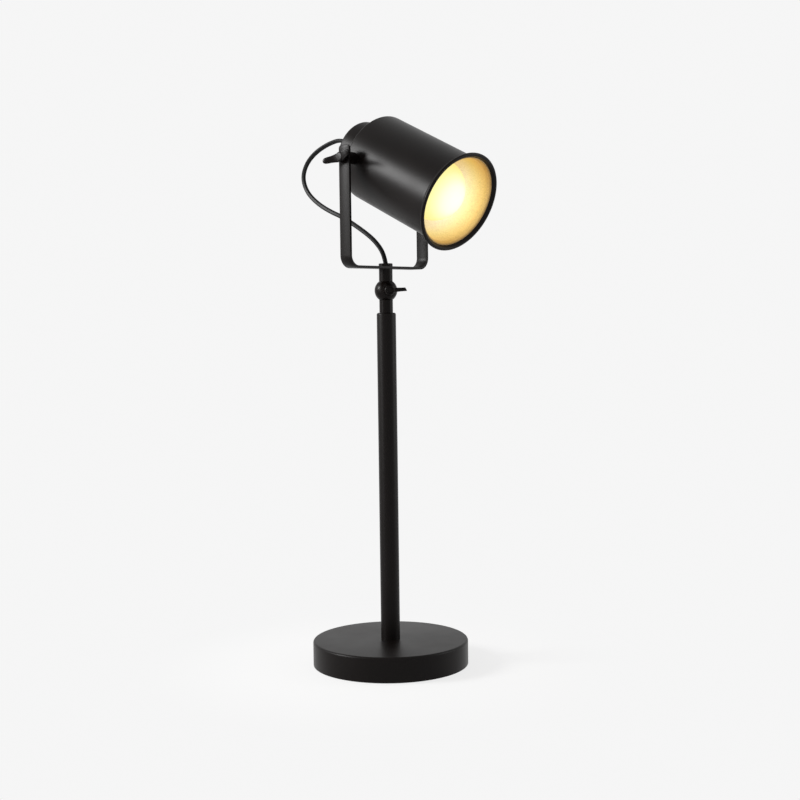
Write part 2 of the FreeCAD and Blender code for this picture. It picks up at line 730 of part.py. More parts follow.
# Can and rear cap, in the can's own frame
def make_can():
    bead = bead_size
    bead_round = bead / 2 - fit_gap
    flare_end = can_front - bead
    flare_start = can_front - flare_length
    can = turned("can_shell", [
        (back_hole, -can_back),
        (can_radius, -can_back, can_edge),
        (can_radius, flare_start, flare_round),
        (rim_radius - bead * 0.7, flare_end),
        (rim_radius, flare_end, bead_round),
        (rim_radius, can_front, bead_round),
        (rim_radius - bead, can_front, bead_round),
        (can_inner, flare_start + can_wall, flare_round - can_wall),
        (can_inner, can_wall - can_back, can_edge - can_wall),
        (back_hole, can_wall - can_back),
    ])
    sketch = sketch_on(can, "YZ_Plane")
    round_hole(sketch, clamp_hole)
    through(can, sketch)
    sketch = sketch_on(can, "XY_Plane", -can_back)
    round_hole(sketch, cap_screw_radius + fit_gap, 0, cap_screw_ring)
    hole = pushed(can, "Pocket", sketch, can_wall * 3, both=True)
    around(can, [hole], 3)
    seat_on_head(can)

    liner_outer = can_inner - liner_gap
    seat_on_head(turned("gold_liner", [
        (liner_outer - liner_wall, liner_start),
        (liner_outer, liner_start),
        (liner_outer, can_front - liner_inset),
        (liner_outer - liner_wall, can_front - liner_inset),
    ]))

    cap_inner = cap_radius - can_wall
    cap = turned("rear_cap", [
        (tube_hole, -cap_rear),
        (cap_radius, -cap_rear, cap_edge),
        (cap_radius, -can_back),
        (back_hole, -can_back),
        (back_hole, -(can_back + can_wall)),
        (cap_inner, -(can_back + can_wall)),
        (cap_inner, can_wall - cap_rear, cap_edge - can_wall),
        (tube_hole, can_wall - cap_rear),
    ])
    sketch = sketch_on(cap, "XY_Plane", -can_back)
    round_hole(sketch, cap_screw_radius + fit_gap, 0, cap_screw_ring)
    hole = pushed(cap, "Pocket", sketch, can_wall * 3, both=True)
    around(cap, [hole], 3)
    seat_on_head(cap)

    inside = can_wall - can_back
    under = -(can_back + can_wall)
    screws = piece("PartDesign::Body", "cap_screws")
    sketch = sketch_on(screws, "XY_Plane", inside)
    round_hole(sketch, cap_screw_head, 0, cap_screw_ring)
    head = pushed(screws, "Pad", sketch, cap_head_height)
    sketch = sketch_on(screws, "XY_Plane", inside)
    round_hole(sketch, cap_screw_radius, 0, cap_screw_ring)
    shank = pushed(screws, "Pad", sketch, can_wall * 2 + cap_nut_thick, back=True)
    around(screws, [head, shank], 3)
    seat_on_head(screws)

    nuts = piece("PartDesign::Body", "cap_nuts")
    sketch = sketch_on(nuts, "XY_Plane", under)
    hexagon(sketch, cap_nut_flats, 0, cap_screw_ring)
    block = pushed(nuts, "Pad", sketch, cap_nut_thick, back=True)
    sketch = sketch_on(nuts, "XY_Plane", under)
    round_hole(sketch, cap_screw_radius + fit_gap, 0, cap_screw_ring)
    bore = pushed(nuts, "Pocket", sketch, cap_nut_thick)
    around(nuts, [block, bore], 3)
    seat_on_head(nuts)


# Spacer between an arm and the can: a turned bush whose inner end sits on the can
def make_spacer(name, side):
    body = piece("PartDesign::Body", name)
    sketch = sketch_on(body, "XY_Plane")
    inner = can_radius - spacer_radius
    outline(sketch, [
        (inner * side, clamp_hole),
        (arm_inner * side, clamp_hole),
        (arm_inner * side, spacer_radius),
        (inner * side, spacer_radius),
    ])
    spun(body, "Revolution", sketch, "H_Axis")
    sketch = sketch_on(body, "XY_Plane")
    round_hole(sketch, can_radius)
    through(body, sketch)
    seat_on_head(body)


# Nut inside the can, its outer end shaped to the can's wall
def make_side_nut(name, side):
    body = piece("PartDesign::Body", name)
    sketch = sketch_on(body, "YZ_Plane", (can_inner - clamp_nut_thick) * side)
    hexagon(sketch, clamp_nut_flats)
    pushed(body, "Pad", sketch, can_radius / 4, back=side < 0)
    sketch = sketch_on(body, "YZ_Plane")
    round_hole(sketch, clamp_hole)
    through(body, sketch)
    sketch = sketch_on(body, "XY_Plane")
    round_hole(sketch, can_inner)
    round_hole(sketch, can_radius * 2)
    through(body, sketch)
    seat_on_head(body)


# Wing screw: its own Z axis points away from the arm, the origin on the arm's face
def make_wing_screw(name, side):
    shank_end = arm_outer - can_inner + clamp_nut_thick + screw_end
    hub_top = washer_thick + wing_hub_height
    body = turned(name, [
        (0, -shank_end),
        (clamp_radius, -shank_end),
        (clamp_radius, washer_thick),
        (wing_hub_radius, washer_thick),
        (wing_hub_radius, hub_top, wing_hub_radius / 3),
        (0, hub_top),
    ])
    lean = Rotation(Vector(0, 1, 0), -wing_sweep.value)
    sketch = sketch_on(body, "XY_Plane", washer_thick + wing_rise, lean)
    root_end = wing_hub_radius * 0.5
    outline(sketch, [
        (root_end, -(wing_root / 2)),
        (wing_reach, -(wing_tip / 2), wing_tip * 0.49),
        (wing_reach, wing_tip / 2, wing_tip * 0.49),
        (root_end, wing_root / 2),
    ])
    ear = pushed(body, "Pad", sketch, wing_thick, both=True)
    around(body, [ear], 2)
    outward = Rotation(Vector(0, 1, 0), 90 * side)
    turn = Rotation(Vector(0, 0, 1), 90 - wing_roll.value * side)
    place(body, (arm_outer * side, 0, pivot_height), outward.multiply(turn))
    return body


def make_arm_washer(name, side):
    body = turned(name, ring_corners(clamp_hole, washer_radius, 0, washer_thick))
    place(body, (arm_outer * side, 0, pivot_height), Rotation(Vector(0, 1, 0), 90 * side))


# Lampholder, in the can's own frame
def make_lampholder():
    cap_floor = can_wall - cap_rear
    sleeve_foot = holder_foot + holder_cap_length
    holder_inner = holder_radius - holder_wall
    locknut = nut("holder_locknut", locknut_flats, locknut_thick, cap_floor, tube_hole)
    seat_on_head(locknut)
    seat_on_head(turned("holder_cap", [
        (tube_hole, holder_foot),
        (holder_radius, holder_foot, holder_edge),
        (holder_radius, sleeve_foot),
        (holder_inner, sleeve_foot),
        (holder_inner, holder_foot + holder_boss, holder_edge - holder_wall),
        (tube_hole, holder_foot + holder_boss),
    ]))
    sleeve_top = sleeve_foot + holder_sleeve_length
    block_radius = holder_inner - fit_gap
    seat_on_head(turned("holder_sleeve", [
        (holder_inner, sleeve_foot),
        (holder_radius, sleeve_foot),
        (holder_radius, sleeve_top, holder_wall / 2),
        (socket_radius + socket_wall + turn_gap, sleeve_top),
        (socket_radius + socket_wall + turn_gap, sleeve_top - holder_wall),
        (holder_inner, sleeve_top - holder_wall),
    ]))
    seat_on_head(turned("contact_block", [
        (0, block_foot),
        (block_radius, block_foot),
        (block_radius, block_top),
        (0, block_top),
    ]))
    shell_outer = socket_radius + socket_wall
    seat_on_head(turned("screw_shell", [
        (socket_radius, block_top),
        (shell_outer, block_top),
        (shell_outer, block_top + socket_length),
        (socket_radius, block_top + socket_length),
    ]))
    seat_on_head(turned("centre_contact", [
        (0, block_top),
        (spring_radius, block_top),
        (spring_radius / 2, bulb_foot),
        (0, bulb_foot),
    ]))
    nipple_top = holder_foot + holder_boss - fit_gap
    nipple_low = -(cap_rear + bush_thread - fit_gap)
    seat_on_head(turned("holder_nipple", ring_corners(nipple_bore, nipple_radius, nipple_low, nipple_top)))
    seat_on_head(turned("cord_bush", [
        (tube_hole, -cap_rear),
        (bush_radius, -cap_rear),
        (bush_radius, -(cap_rear + bush_flange), bush_flange / 3),
        (tube_hole + can_wall, -(cap_rear + bush_flange)),
        (tube_hole + can_wall, -(cap_rear + bush_thread + can_wall), can_wall),
        (bush_tip, -bush_end),
        (lead_hole, -bush_end),
        (lead_hole, -(cap_rear + bush_thread)),
        (tube_hole, -(cap_rear + bush_thread)),
    ]))


# Bulb, in the can's own frame
def make_bulb():
    top = bulb_top
    foot = bulb_foot
    glass_foot = foot + button_height + bulb_cap_length - bulb_cap_radius * 0.4
    tube = bulb_cap_radius - bulb_cap_wall - fit_gap
    waist = top - bulb_waist
    neck = top - bulb_neck
    inner = bulb_radius - glass_thick
    inner_tube = tube - glass_thick
    inner_neck = neck_wide - glass_thick
    dome = bulb_radius - fit_gap
    shoulder = bulb_radius
    seat_on_head(turned("bulb_glass", [
        (0, top),
        (bulb_radius, top, dome),
        (bulb_radius, waist, shoulder),
        (neck_wide, neck, shoulder),
        (tube, foot + button_height + bulb_cap_length),
        (tube, glass_foot),
        (inner_tube, glass_foot),
        (inner_tube, foot + button_height + bulb_cap_length),
        (inner_neck, neck, shoulder),
        (inner, waist, shoulder),
        (inner, top - glass_thick, dome - glass_thick),
        (0, top - glass_thick),
    ]))
    cap_foot = foot + button_height
    cap_top = cap_foot + bulb_cap_length
    cap_inner = bulb_cap_radius - bulb_cap_wall
    seat_on_head(turned("bulb_cap", [
        (bulb_button, cap_foot),
        (bulb_cap_radius * 0.85, cap_foot),
        (bulb_cap_radius, cap_foot + button_height),
        (bulb_cap_radius, cap_top),
        (cap_inner, cap_top),
        (cap_inner, cap_foot + button_height + bulb_cap_wall),
        (bulb_button, cap_foot + bulb_cap_wall),
    ]))
    seat_on_head(turned("bulb_contact", [
        (0, foot),
        (spring_radius, foot),
        (bulb_button, cap_foot),
        (bulb_button, cap_foot + bulb_cap_wall),
        (0, cap_foot + bulb_cap_wall),
    ]))


# Straight leads inside the hollow pieces
def straight_lead(name, foot, length):
    lead = piece("Part::Cylinder", name)
    bound(lead, "Radius", lead_radius)
    bound(lead, "Height", length)
    place(lead, (0, 0, foot), Rotation())
    return lead


def make_inner_leads():
    ball_room = ball_radius + turn_gap * 2
    straight_lead("stand_lead", base_tube_foot, ball_height - ball_room - base_tube_foot)
    lead_start = ball_height + ball_room
    straight_lead("neck_lead", lead_start, yoke_nut_top - lead_gap - lead_start)
    inner_end = cap_rear - can_wall - locknut_thick - holder_boss
    lead = straight_lead("holder_lead", 0, bush_end - inner_end)
    turn = Rotation(Vector(1, 0, 0), 90 + tilt.value)
    base = (0, bush_end * cosine(tilt), pivot_height + bush_end * sine(tilt))
    place(lead, base, turn)


# Free lead from the cord bush to the yoke nut, in the plane of the pole and the can
def lead_route():
    # bends as shares of the loop's reach and of the rise from the yoke nut to the tilting axis
    along = cosine(tilt).value
    rise = sine(tilt).value
    start = Vector(0, bush_end.value * along, pivot_height.value + bush_end.value * rise)
    low = yoke_nut_top.value
    high = pivot_height.value - low
    bends = [
        (0.659, 1.2535), (0.835, 1.179), (0.9524, 1.0704), (1, 0.9326), (0.949, 0.7847),
        (0.8274, 0.664), (0.665, 0.5634), (0.48, 0.482), (0.1786, 0.2837), (0.0638, 0.165), (0.0153, 0.0744),
    ]
    route = [start, start + Vector(0, along, rise) * bush_run.value]
    route += [Vector(0, back * lead_reach.value, low + up * high) for back, up in bends]
    route.append(Vector(0, 0, low))
    return route


def rounded_path(route):
    # straight runs joined by tangent arcs, each as large as its two runs allow
    share = 0.45
    edges = []
    radii = []
    at = route[0]
    for before, corner, after in zip(route, route[1:], route[2:]):
        into = corner - before
        out = after - corner
        reach = share * min(into.Length, out.Length)
        half_turn = into.getAngle(out) / 2
        radii.append(reach / math.tan(half_turn))
        into.normalize()
        out.normalize()
        start = corner - into * reach
        end = corner + out * reach
        inward = (out - into).normalize()
        depth = radii[-1] * (1 / math.cos(half_turn) - 1)
        edges.append(Part.LineSegment(at, start).toShape())
        edges.append(Part.Arc(start, corner + inward * depth, end).toShape())
        at = end
    edges.append(Part.LineSegment(at, route[-1]).toShape())
    return Part.Wire(edges), radii


def make_upper_lead():
    route = lead_route()
    path, radii = rounded_path(route)
    along = route[1] - route[0]
    ring = Part.Wire(Part.Circle(route[0], along, lead_radius.value).toShape())
    solid = path.makePipeShell([ring], True, False)
    lead = piece("Part::Feature", "upper_lead")
    lead.Shape = solid
    lead.Placement = Placement()
    section = math.pi * lead_radius.value**2
    print("upper lead: route", [(round(spot.y, 3), round(spot.z, 3)) for spot in route])
    print("upper lead: length", round(path.Length, 1))
    print("upper lead: radii", [round(radius, 1) for radius in radii])
    print("upper lead: volume", round(solid.Volume, 1), "section x length", round(section * path.Length, 1))


make_base()
make_grommet()
make_pole()
make_knuckle()
make_yoke()
make_can()
make_spacer("left_spacer", -1)
make_spacer("right_spacer", 1)
make_side_nut("left_side_nut", -1)
make_side_nut("right_side_nut", 1)
make_wing_screw("left_wing_screw", -1)
make_wing_screw("right_wing_screw", 1)
make_arm_washer("left_arm_washer", -1)
make_arm_washer("right_arm_washer", 1)
make_lampholder()
make_bulb()
make_inner_leads()
make_upper_lead()
doc.recompute()

for item in doc.Objects:
    if "Invalid" in item.State or "Error" in item.State:
        raise RuntimeError(f"{item.Label} didn't rebuild: {item.State}")
for step in features:
    before = step.BaseFeature.Shape.Volume if getattr(step, "BaseFeature", None) else 0
    if step.TypeId in ("PartDesign::Pocket", "PartDesign::Groove"):
        if not step.Shape.Volume < before:
            raise RuntimeError(f"{step.Label} cuts nothing")
    elif not step.Shape.Volume != before:
        raise RuntimeError(f"{step.Label} adds nothing")

os.makedirs("parts", exist_ok=True)
for name, item in pieces.items():
    if item.Shape.isNull() or not item.Shape.isValid():
        raise RuntimeError(f"{name} has no valid shape")
    item.Shape.exportStep(f"parts/{name}.step")
print(len(pieces), "pieces written")
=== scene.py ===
import json
import math

import bmesh
import bpy
from mathutils import Matrix, Vector

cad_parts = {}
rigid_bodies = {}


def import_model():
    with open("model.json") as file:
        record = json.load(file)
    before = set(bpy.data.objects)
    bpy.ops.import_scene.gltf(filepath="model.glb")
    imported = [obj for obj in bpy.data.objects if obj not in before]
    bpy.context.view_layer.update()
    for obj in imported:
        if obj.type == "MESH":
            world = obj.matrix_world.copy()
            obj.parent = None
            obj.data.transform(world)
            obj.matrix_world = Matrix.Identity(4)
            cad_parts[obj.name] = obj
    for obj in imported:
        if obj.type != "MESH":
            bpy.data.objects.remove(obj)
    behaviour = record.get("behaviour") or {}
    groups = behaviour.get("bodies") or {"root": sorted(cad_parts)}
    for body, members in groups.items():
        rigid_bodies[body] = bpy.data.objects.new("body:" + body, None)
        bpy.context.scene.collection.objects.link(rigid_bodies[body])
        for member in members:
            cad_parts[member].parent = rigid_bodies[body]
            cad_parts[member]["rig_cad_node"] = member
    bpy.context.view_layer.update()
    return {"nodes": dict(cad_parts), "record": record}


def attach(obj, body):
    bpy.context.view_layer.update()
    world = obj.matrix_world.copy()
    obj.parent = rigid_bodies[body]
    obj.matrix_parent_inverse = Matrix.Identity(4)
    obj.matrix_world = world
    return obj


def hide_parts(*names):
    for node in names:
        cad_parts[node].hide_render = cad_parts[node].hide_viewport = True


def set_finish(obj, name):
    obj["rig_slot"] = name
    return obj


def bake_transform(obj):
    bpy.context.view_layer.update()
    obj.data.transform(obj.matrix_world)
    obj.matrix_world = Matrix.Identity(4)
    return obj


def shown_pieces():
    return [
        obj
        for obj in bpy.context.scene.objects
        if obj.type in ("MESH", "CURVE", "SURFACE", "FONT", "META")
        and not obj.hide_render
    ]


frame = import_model()
print("frame loaded:", len(frame["nodes"]), "CAD nodes")

milli = 0.001                      # the pieces below are written in millimetres
pivotHeight = 499.0                # table to the tilting axis
canTilt = 25.6                     # can's axis below level at rest
ballHeight = 373.0                 # table to the middle of the knuckle
leverHeading = -31.0               # the lever screw's heading from -Y
nippleHole = 5.05                  # clears the threaded nipples
onAxis = 1e-7                      # a lathe point nearer to the axis than this lies on it

# the can's own frame: its origin on the tilting axis, Z out of its mouth
headTurn = Matrix.Rotation(math.radians(90 + canTilt), 4, "X")
headFrame = Matrix.Translation((0, 0, pivotHeight * milli)) @ headTurn


def link(name, data, matrix=None):
    piece = bpy.data.objects.new(name, data)
    bpy.context.scene.collection.objects.link(piece)
    if matrix is not None:
        piece.matrix_world = matrix
    return piece


# the camera stands where the photograph was taken from
photoCamera = {
    "aside": 12.447, "away": 1323.605, "height": 345.62,
    "heading": 46.93, "pitch": 3.503, "roll": -0.741,
    "lens": 60.17, "sensor": 36.0, "nearest": 0.05, "farthest": 60.0,
}


def makeCamera(view):
    pitch = math.radians(view["pitch"])
    roll = math.radians(view["roll"])
    forward = Vector((0, math.cos(pitch), -math.sin(pitch)))
    levelUp = Vector((0, math.sin(pitch), math.cos(pitch)))
    levelRight = Vector((1, 0, 0))
    right = levelRight * math.cos(roll) + levelUp * math.sin(roll)
    up = levelUp * math.cos(roll) - levelRight * math.sin(roll)
    turn = Matrix([(*right, 0), (*up, 0), (*(-forward), 0), (0, 0, 0, 1)]).transposed()
    place = Matrix.Translation(Vector((view["aside"], -view["away"], view["height"])) * milli)
    heading = Matrix.Rotation(math.radians(-view["heading"]), 4, "Z")
    data = bpy.data.cameras.new("photoCamera")
    data.lens = view["lens"]
    data.sensor_width = view["sensor"]
    data.clip_start = view["nearest"]
    data.clip_end = view["farthest"]
    bpy.context.scene.camera = link("photoCamera", data, heading @ place @ turn)


makeCamera(photoCamera)
print("camera set")


# helpers that build the meshes
def smoothMesh(mesh, angle):
    for face in mesh.polygons:
        face.use_smooth = True
    mesh.set_sharp_from_angle(angle=math.radians(angle))


def skinned(name, shape, angle, matrix=None):
    # makes a piece of the built shape; edges sharper than the angle stay sharp
    bmesh.ops.recalc_face_normals(shape, faces=shape.faces)
    mesh = bpy.data.meshes.new(name)
    shape.to_mesh(mesh)
    shape.free()
    smoothMesh(mesh, angle)
    return link(name, mesh, matrix)


def roundCorners(corners, steps=8, closed=True):
    # corners are (across, up) or (across, up, rounding); gives the points of the outline
    points = []
    count = len(corners)
    for index, corner in enumerate(corners):
        spot = Vector(corner[:2])
        openEnd = not closed and index in (0, count - 1)
        if len(corner) == 2 or openEnd:
            points.append(spot)
            continue
        before = (Vector(corners[index - 1][:2]) - spot).normalized()
        after = (Vector(corners[(index + 1) % count][:2]) - spot).normalized()
        half = before.angle(after) / 2
        reach = corner[2] / math.tan(half)
        middle = spot + (before + after).normalized() * (corner[2] / math.sin(half))
        first = spot + before * reach - middle
        last = spot + after * reach - middle
        sweep = first.angle_signed(last)
        for step in range(steps + 1):
            turn = -sweep * step / steps
            points.append(middle + Vector((
                first.x * math.cos(turn) - first.y * math.sin(turn),
                first.x * math.sin(turn) + first.y * math.cos(turn),
            )))
    return points


def lathe(name, corners, matrix=None, turns=144, steps=8, angle=32):
    # turns a closed outline of (radius, height) round its own Z axis
    shape = bmesh.new()
    rings = []
    for spot in roundCorners(corners, steps):
        radius, height = spot.x * milli, spot.y * milli
        if radius < onAxis:
            rings.append([shape.verts.new((0, 0, height))])
            continue
        ring = []
        for step in range(turns):
            around = 2 * math.pi * step / turns
            place = (radius * math.cos(around), radius * math.sin(around), height)
            ring.append(shape.verts.new(place))
        rings.append(ring)
    for low, high in zip(rings, rings[1:] + rings[:1]):
        if len(low) == 1 and len(high) == 1:
            continue
        for step in range(turns):
            after = (step + 1) % turns
            face = [low[step % len(low)], low[after % len(low)],
                    high[after % len(high)], high[step % len(high)]]
            shape.faces.new([vert for place, vert in enumerate(face) if vert not in face[:place]])
    return skinned(name, shape, angle, matrix)


def loft(name, rings, angle=40):
    # joins rings of as many points each into one closed skin
    shape = bmesh.new()
    made = [[shape.verts.new(Vector(spot) * milli) for spot in ring] for ring in rings]
    count = len(made[0])
    for low, high in zip(made, made[1:]):
        for step in range(count):
            after = (step + 1) % count
            shape.faces.new((low[step], low[after], high[after], high[step]))
    shape.faces.new(made[0])
    shape.faces.new(made[-1])
    return skinned(name, shape, angle)


def joined(name, parts):
    # one object out of several, in the first one's frame
    home = parts[0].matrix_world.copy()
    inverse = home.inverted()
    shape = bmesh.new()
    for part in parts:
        part.data.transform(inverse @ part.matrix_world)
        shape.from_mesh(part.data)
    mesh = bpy.data.meshes.new(name)
    shape.to_mesh(mesh)
    shape.free()
    for part in parts:
        bpy.data.objects.remove(part)
    return link(name, mesh, home)


def softenEdges(piece, width, segments, angle):
    # bevels the edges sharper than the angle, in the mesh itself
    bevel = piece.modifiers.new("softEdge", "BEVEL")
    bevel.width = width * milli
    bevel.segments = segments
    bevel.limit_method = "ANGLE"
    bevel.angle_limit = math.radians(angle)
    depsgraph = bpy.context.evaluated_depsgraph_get()
    mesh = bpy.data.meshes.new_from_object(piece.evaluated_get(depsgraph))
    piece.modifiers.clear()
    piece.data = mesh


# the free lead hangs in a loop in the middle plane, from the can's bush to the yoke's nut
lead = {
    "width": 4.6, "thickness": 3.4, "length": 0.243,
    "sides": 28, "steps": 12,                   # points round the section, spline's smoothness
    "grooveDepth": 0.16, "grooveHalf": 0.42,    # depth as a share of the core, half width
    "twist": 25, "moreTwist": 50,               # degrees at the ends, and added at the middle
    # back from the pole's axis and up from the table
    "route": [
        (44.009, 520.086), (57.627, 526.61), (77.498, 524.198), (98.196, 516.793),
        (112.002, 505.998), (117.6, 492.3), (111.602, 477.599), (97.302, 465.602),
        (78.204, 455.602), (56.448, 447.511), (21.003, 427.8), (7.503, 416.001),
        (1.799, 406.995), (0.0, 399.6),
    ],
}


def routePoints(route):
    # points along the route's own smooth spline
    curve = bpy.data.curves.new("leadRoute", "CURVE")
    curve.dimensions = "3D"
    spline = curve.splines.new("NURBS")
    spline.points.add(len(route) - 1)
    for spot, (back, up) in zip(spline.points, route):
        spot.co = (0, back * milli, up * milli, 1)
    spline.order_u = 3
    spline.use_endpoint_u = True
    spline.resolution_u = lead["steps"]
    guide = link("leadRoute", curve)
    mesh = bpy.data.meshes.new_from_object(guide)
    points = [vert.co.copy() for vert in mesh.vertices]
    bpy.data.objects.remove(guide)
    return points


def leadSection():
    # two insulated cores side by side, with a shallow groove between them
    core = lead["thickness"] / 2
    offset = lead["width"] / 2 - core
    section = []
    for step in range(lead["sides"]):
        around = 2 * math.pi * step / lead["sides"]
        side = 1 if math.cos(around) >= 0 else -1
        across = side * offset + core * math.cos(around)
        groove = lead["grooveDepth"] * math.exp(-(across / lead["grooveHalf"]) ** 2)
        section.append((across, core * math.sin(around) * (1 - groove)))
    return section


def makeLead():
    points = routePoints(lead["route"])
    section = leadSection()
    level = Vector((1, 0, 0))
    last = len(points) - 1
    rings = []
    for index, spot in enumerate(points):
        along = (points[min(index + 1, last)] - points[max(index - 1, 0)]).normalized()
        normal = along.cross(level).normalized()
        share = index / last
        twist = math.radians(lead["twist"] + lead["moreTwist"] * math.sin(share * math.pi))
        wide = level * math.cos(twist) + normal * math.sin(twist)
        thin = normal * math.cos(twist) - level * math.sin(twist)
        middle = spot / milli
        rings.append([middle + wide * across + thin * depth for across, depth in section])
    piece = loft("upperFlex", rings, angle=60)
    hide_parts("upper_lead")
    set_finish(piece, "lead_sheath")
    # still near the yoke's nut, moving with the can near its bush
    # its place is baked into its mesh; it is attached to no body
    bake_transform(piece)


makeLead()
print("lead made")


# pressed cover of the weighted base
base = {
    "radius": 77.5, "height": 25.4, "wall": 1.0, "edge": 2.2,
    "skirt": 0.8, "skirtEdge": 0.3,    # gap under the cover, rounding of its lower edges
}


def makeBase():
    inner = base["radius"] - base["wall"]
    under = base["height"] - base["wall"]
    piece = lathe("baseCover", [
        (nippleHole, base["height"]), (base["radius"], base["height"], base["edge"]),
        (base["radius"], base["skirt"], base["skirtEdge"]),
        (inner, base["skirt"], base["skirtEdge"]),
        (inner, under, base["edge"] - base["wall"]), (nippleHole, under),
    ], turns=256)
    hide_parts("base_shell")
    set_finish(piece, "black_paint")
    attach(piece, "stand")


pole = {
    "radius": 9.5, "wall": 1.2, "foot": 25.4, "top": 351.1, "edge": 1.8,
    "lip": 7.0, "lipEdge": 0.25,       # the turned-in top
}


def makePole():
    inner = pole["radius"] - pole["wall"]
    piece = lathe("poleTube", [
        (inner, pole["foot"]), (pole["radius"], pole["foot"]),
        (pole["radius"], pole["top"], pole["edge"]), (pole["lip"], pole["top"], pole["lipEdge"]),
        (pole["lip"], pole["top"] - pole["wall"]), (inner, pole["top"] - pole["wall"]),
    ], turns=128)
    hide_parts("pole_tube")
    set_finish(piece, "black_paint")
    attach(piece, "stand")


# the can and what sits in it, in heights along the can's own axis
can = {
    "radius": 43.2, "wall": 0.9, "front": 108.1, "back": -10.6, "edge": 2.2, "hole": 21.2,
    "rim": 48.6, "bead": 3.0, "beadEase": 0.05,    # the rolled rim, its roundings kept apart
    # start of the flare, its bend, and where it meets the bead
    "flare": 101.5, "flareRound": 5.0, "flareMeets": 0.7,
}


def makeCan():
    beadRound = can["bead"] / 2 - can["beadEase"]
    flareEnd = can["front"] - can["bead"]
    inner = can["radius"] - can["wall"]
    floor = can["back"] + can["wall"]
    piece = lathe("canBody", [
        (can["hole"], can["back"]), (can["radius"], can["back"], can["edge"]),
        (can["radius"], can["flare"], can["flareRound"]),
        (can["rim"] - can["bead"] * can["flareMeets"], flareEnd),
        (can["rim"], flareEnd, beadRound), (can["rim"], can["front"], beadRound),
        (can["rim"] - can["bead"], can["front"], beadRound),
        (inner, can["flare"] + can["wall"], can["flareRound"] - can["wall"]),
        (inner, floor, can["edge"] - can["wall"]), (can["hole"], floor),
    ], turns=256, angle=50)
    piece.data.transform(headFrame)    # in the mesh, so its box is no larger than the can
    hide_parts("can_shell")
    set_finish(piece, "black_paint")
    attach(piece, "head")


liner = {
    "outer": 42.2, "wall": 1.0, "start": 9.0, "front": 105.3,
    "lip": 43.5, "lipOut": 0.25, "lipIn": 0.35,             # middle of the lip, and its two edges
    "lipStart": 101.0, "outerStart": 0.4, "lipRound": 4.0,  # where the gold flares outwards
}


def makeLiner():
    inner = liner["outer"] - liner["wall"]
    piece = lathe("goldInside", [
        (inner, liner["start"]), (liner["outer"], liner["start"]),
        (liner["outer"], liner["lipStart"] + liner["outerStart"], liner["lipRound"]),
        (liner["lip"] + liner["lipOut"], liner["front"]),
        (liner["lip"] - liner["lipIn"], liner["front"]),
        (inner, liner["lipStart"], liner["lipRound"]),
    ], headFrame, turns=256)
    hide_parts("gold_liner")
    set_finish(piece, "gold_lacquer")
    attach(piece, "head")


cup = {"radius": 27.8, "wall": 0.9, "rear": -38.8, "edge": 3.2, "frontEdge": 0.3}


def makeRearCup():
    inner = cup["radius"] - cup["wall"]
    lip = can["back"] - cup["wall"]
    floor = cup["rear"] + cup["wall"]
    piece = lathe("rearCup", [
        (nippleHole, cup["rear"]), (cup["radius"], cup["rear"], cup["edge"]),
        (cup["radius"], can["back"], cup["frontEdge"]), (can["hole"], can["back"]),
        (can["hole"], lip), (inner, lip),
        (inner, floor, cup["edge"] - cup["wall"]), (nippleHole, floor),
    ], headFrame, turns=192)
    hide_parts("rear_cap")
    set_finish(piece, "black_paint")
    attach(piece, "head")


bulb = {
    "top": 102.0, "radius": 30.0, "waist": 60.0, "neck": 38.0, "neckRadius": 15.2,
    "tube": 12.65, "tubeTop": 25.0, "foot": 19.8, "wall": 1.0,
    "ease": 0.05,                      # keeps the dome's rounding off the axis
}


def makeBulb():
    wall = bulb["wall"]
    full = bulb["radius"]
    hollow = full - wall
    innerTube = bulb["tube"] - wall
    innerTop = bulb["top"] - wall
    piece = lathe("bulbGlow", [
        (0, bulb["top"]), (full, bulb["top"], full - bulb["ease"]), (full, bulb["waist"], full),
        (bulb["neckRadius"], bulb["neck"], full), (bulb["tube"], bulb["tubeTop"]),
        (bulb["tube"], bulb["foot"]), (innerTube, bulb["foot"]), (innerTube, bulb["tubeTop"]),
        (bulb["neckRadius"] - wall, bulb["neck"], full), (hollow, bulb["waist"], full),
        (hollow, innerTop, hollow - bulb["ease"]), (0, innerTop),
    ], headFrame, turns=96, steps=14, angle=60)
    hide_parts("bulb_glass")
    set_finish(piece, "bulb_glass")
    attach(piece, "head")


# flat strip bent into a yoke, with rounded ends
yoke = {
    "width": 111.2, "strip": 13.5, "thick": 2.44, "foot": 394.23, "top": 511.0,
    "bend": 12.0, "bendSteps": 14, "corner": 3.5, "cornerSteps": 8, "softEdge": 0.35,
}


def yokeOutline(half, foot, bend):
    return roundCorners([
        (-half, yoke["top"]), (-half, foot, bend), (half, foot, bend), (half, yoke["top"]),
    ], steps=yoke["bendSteps"], closed=False)


def armEnd(outside, inside):
    # stations from below an arm's corners up to its top, where the strip is narrower
    stations = []
    for step in range(yoke["cornerSteps"] + 1):
        turn = math.radians(90 * step / yoke["cornerSteps"])
        drop = Vector((0, yoke["corner"] * (1 - math.sin(turn))))
        reach = yoke["strip"] / 2 - yoke["corner"] * (1 - math.cos(turn))
        stations.append((outside - drop, inside - drop, reach))
    return stations


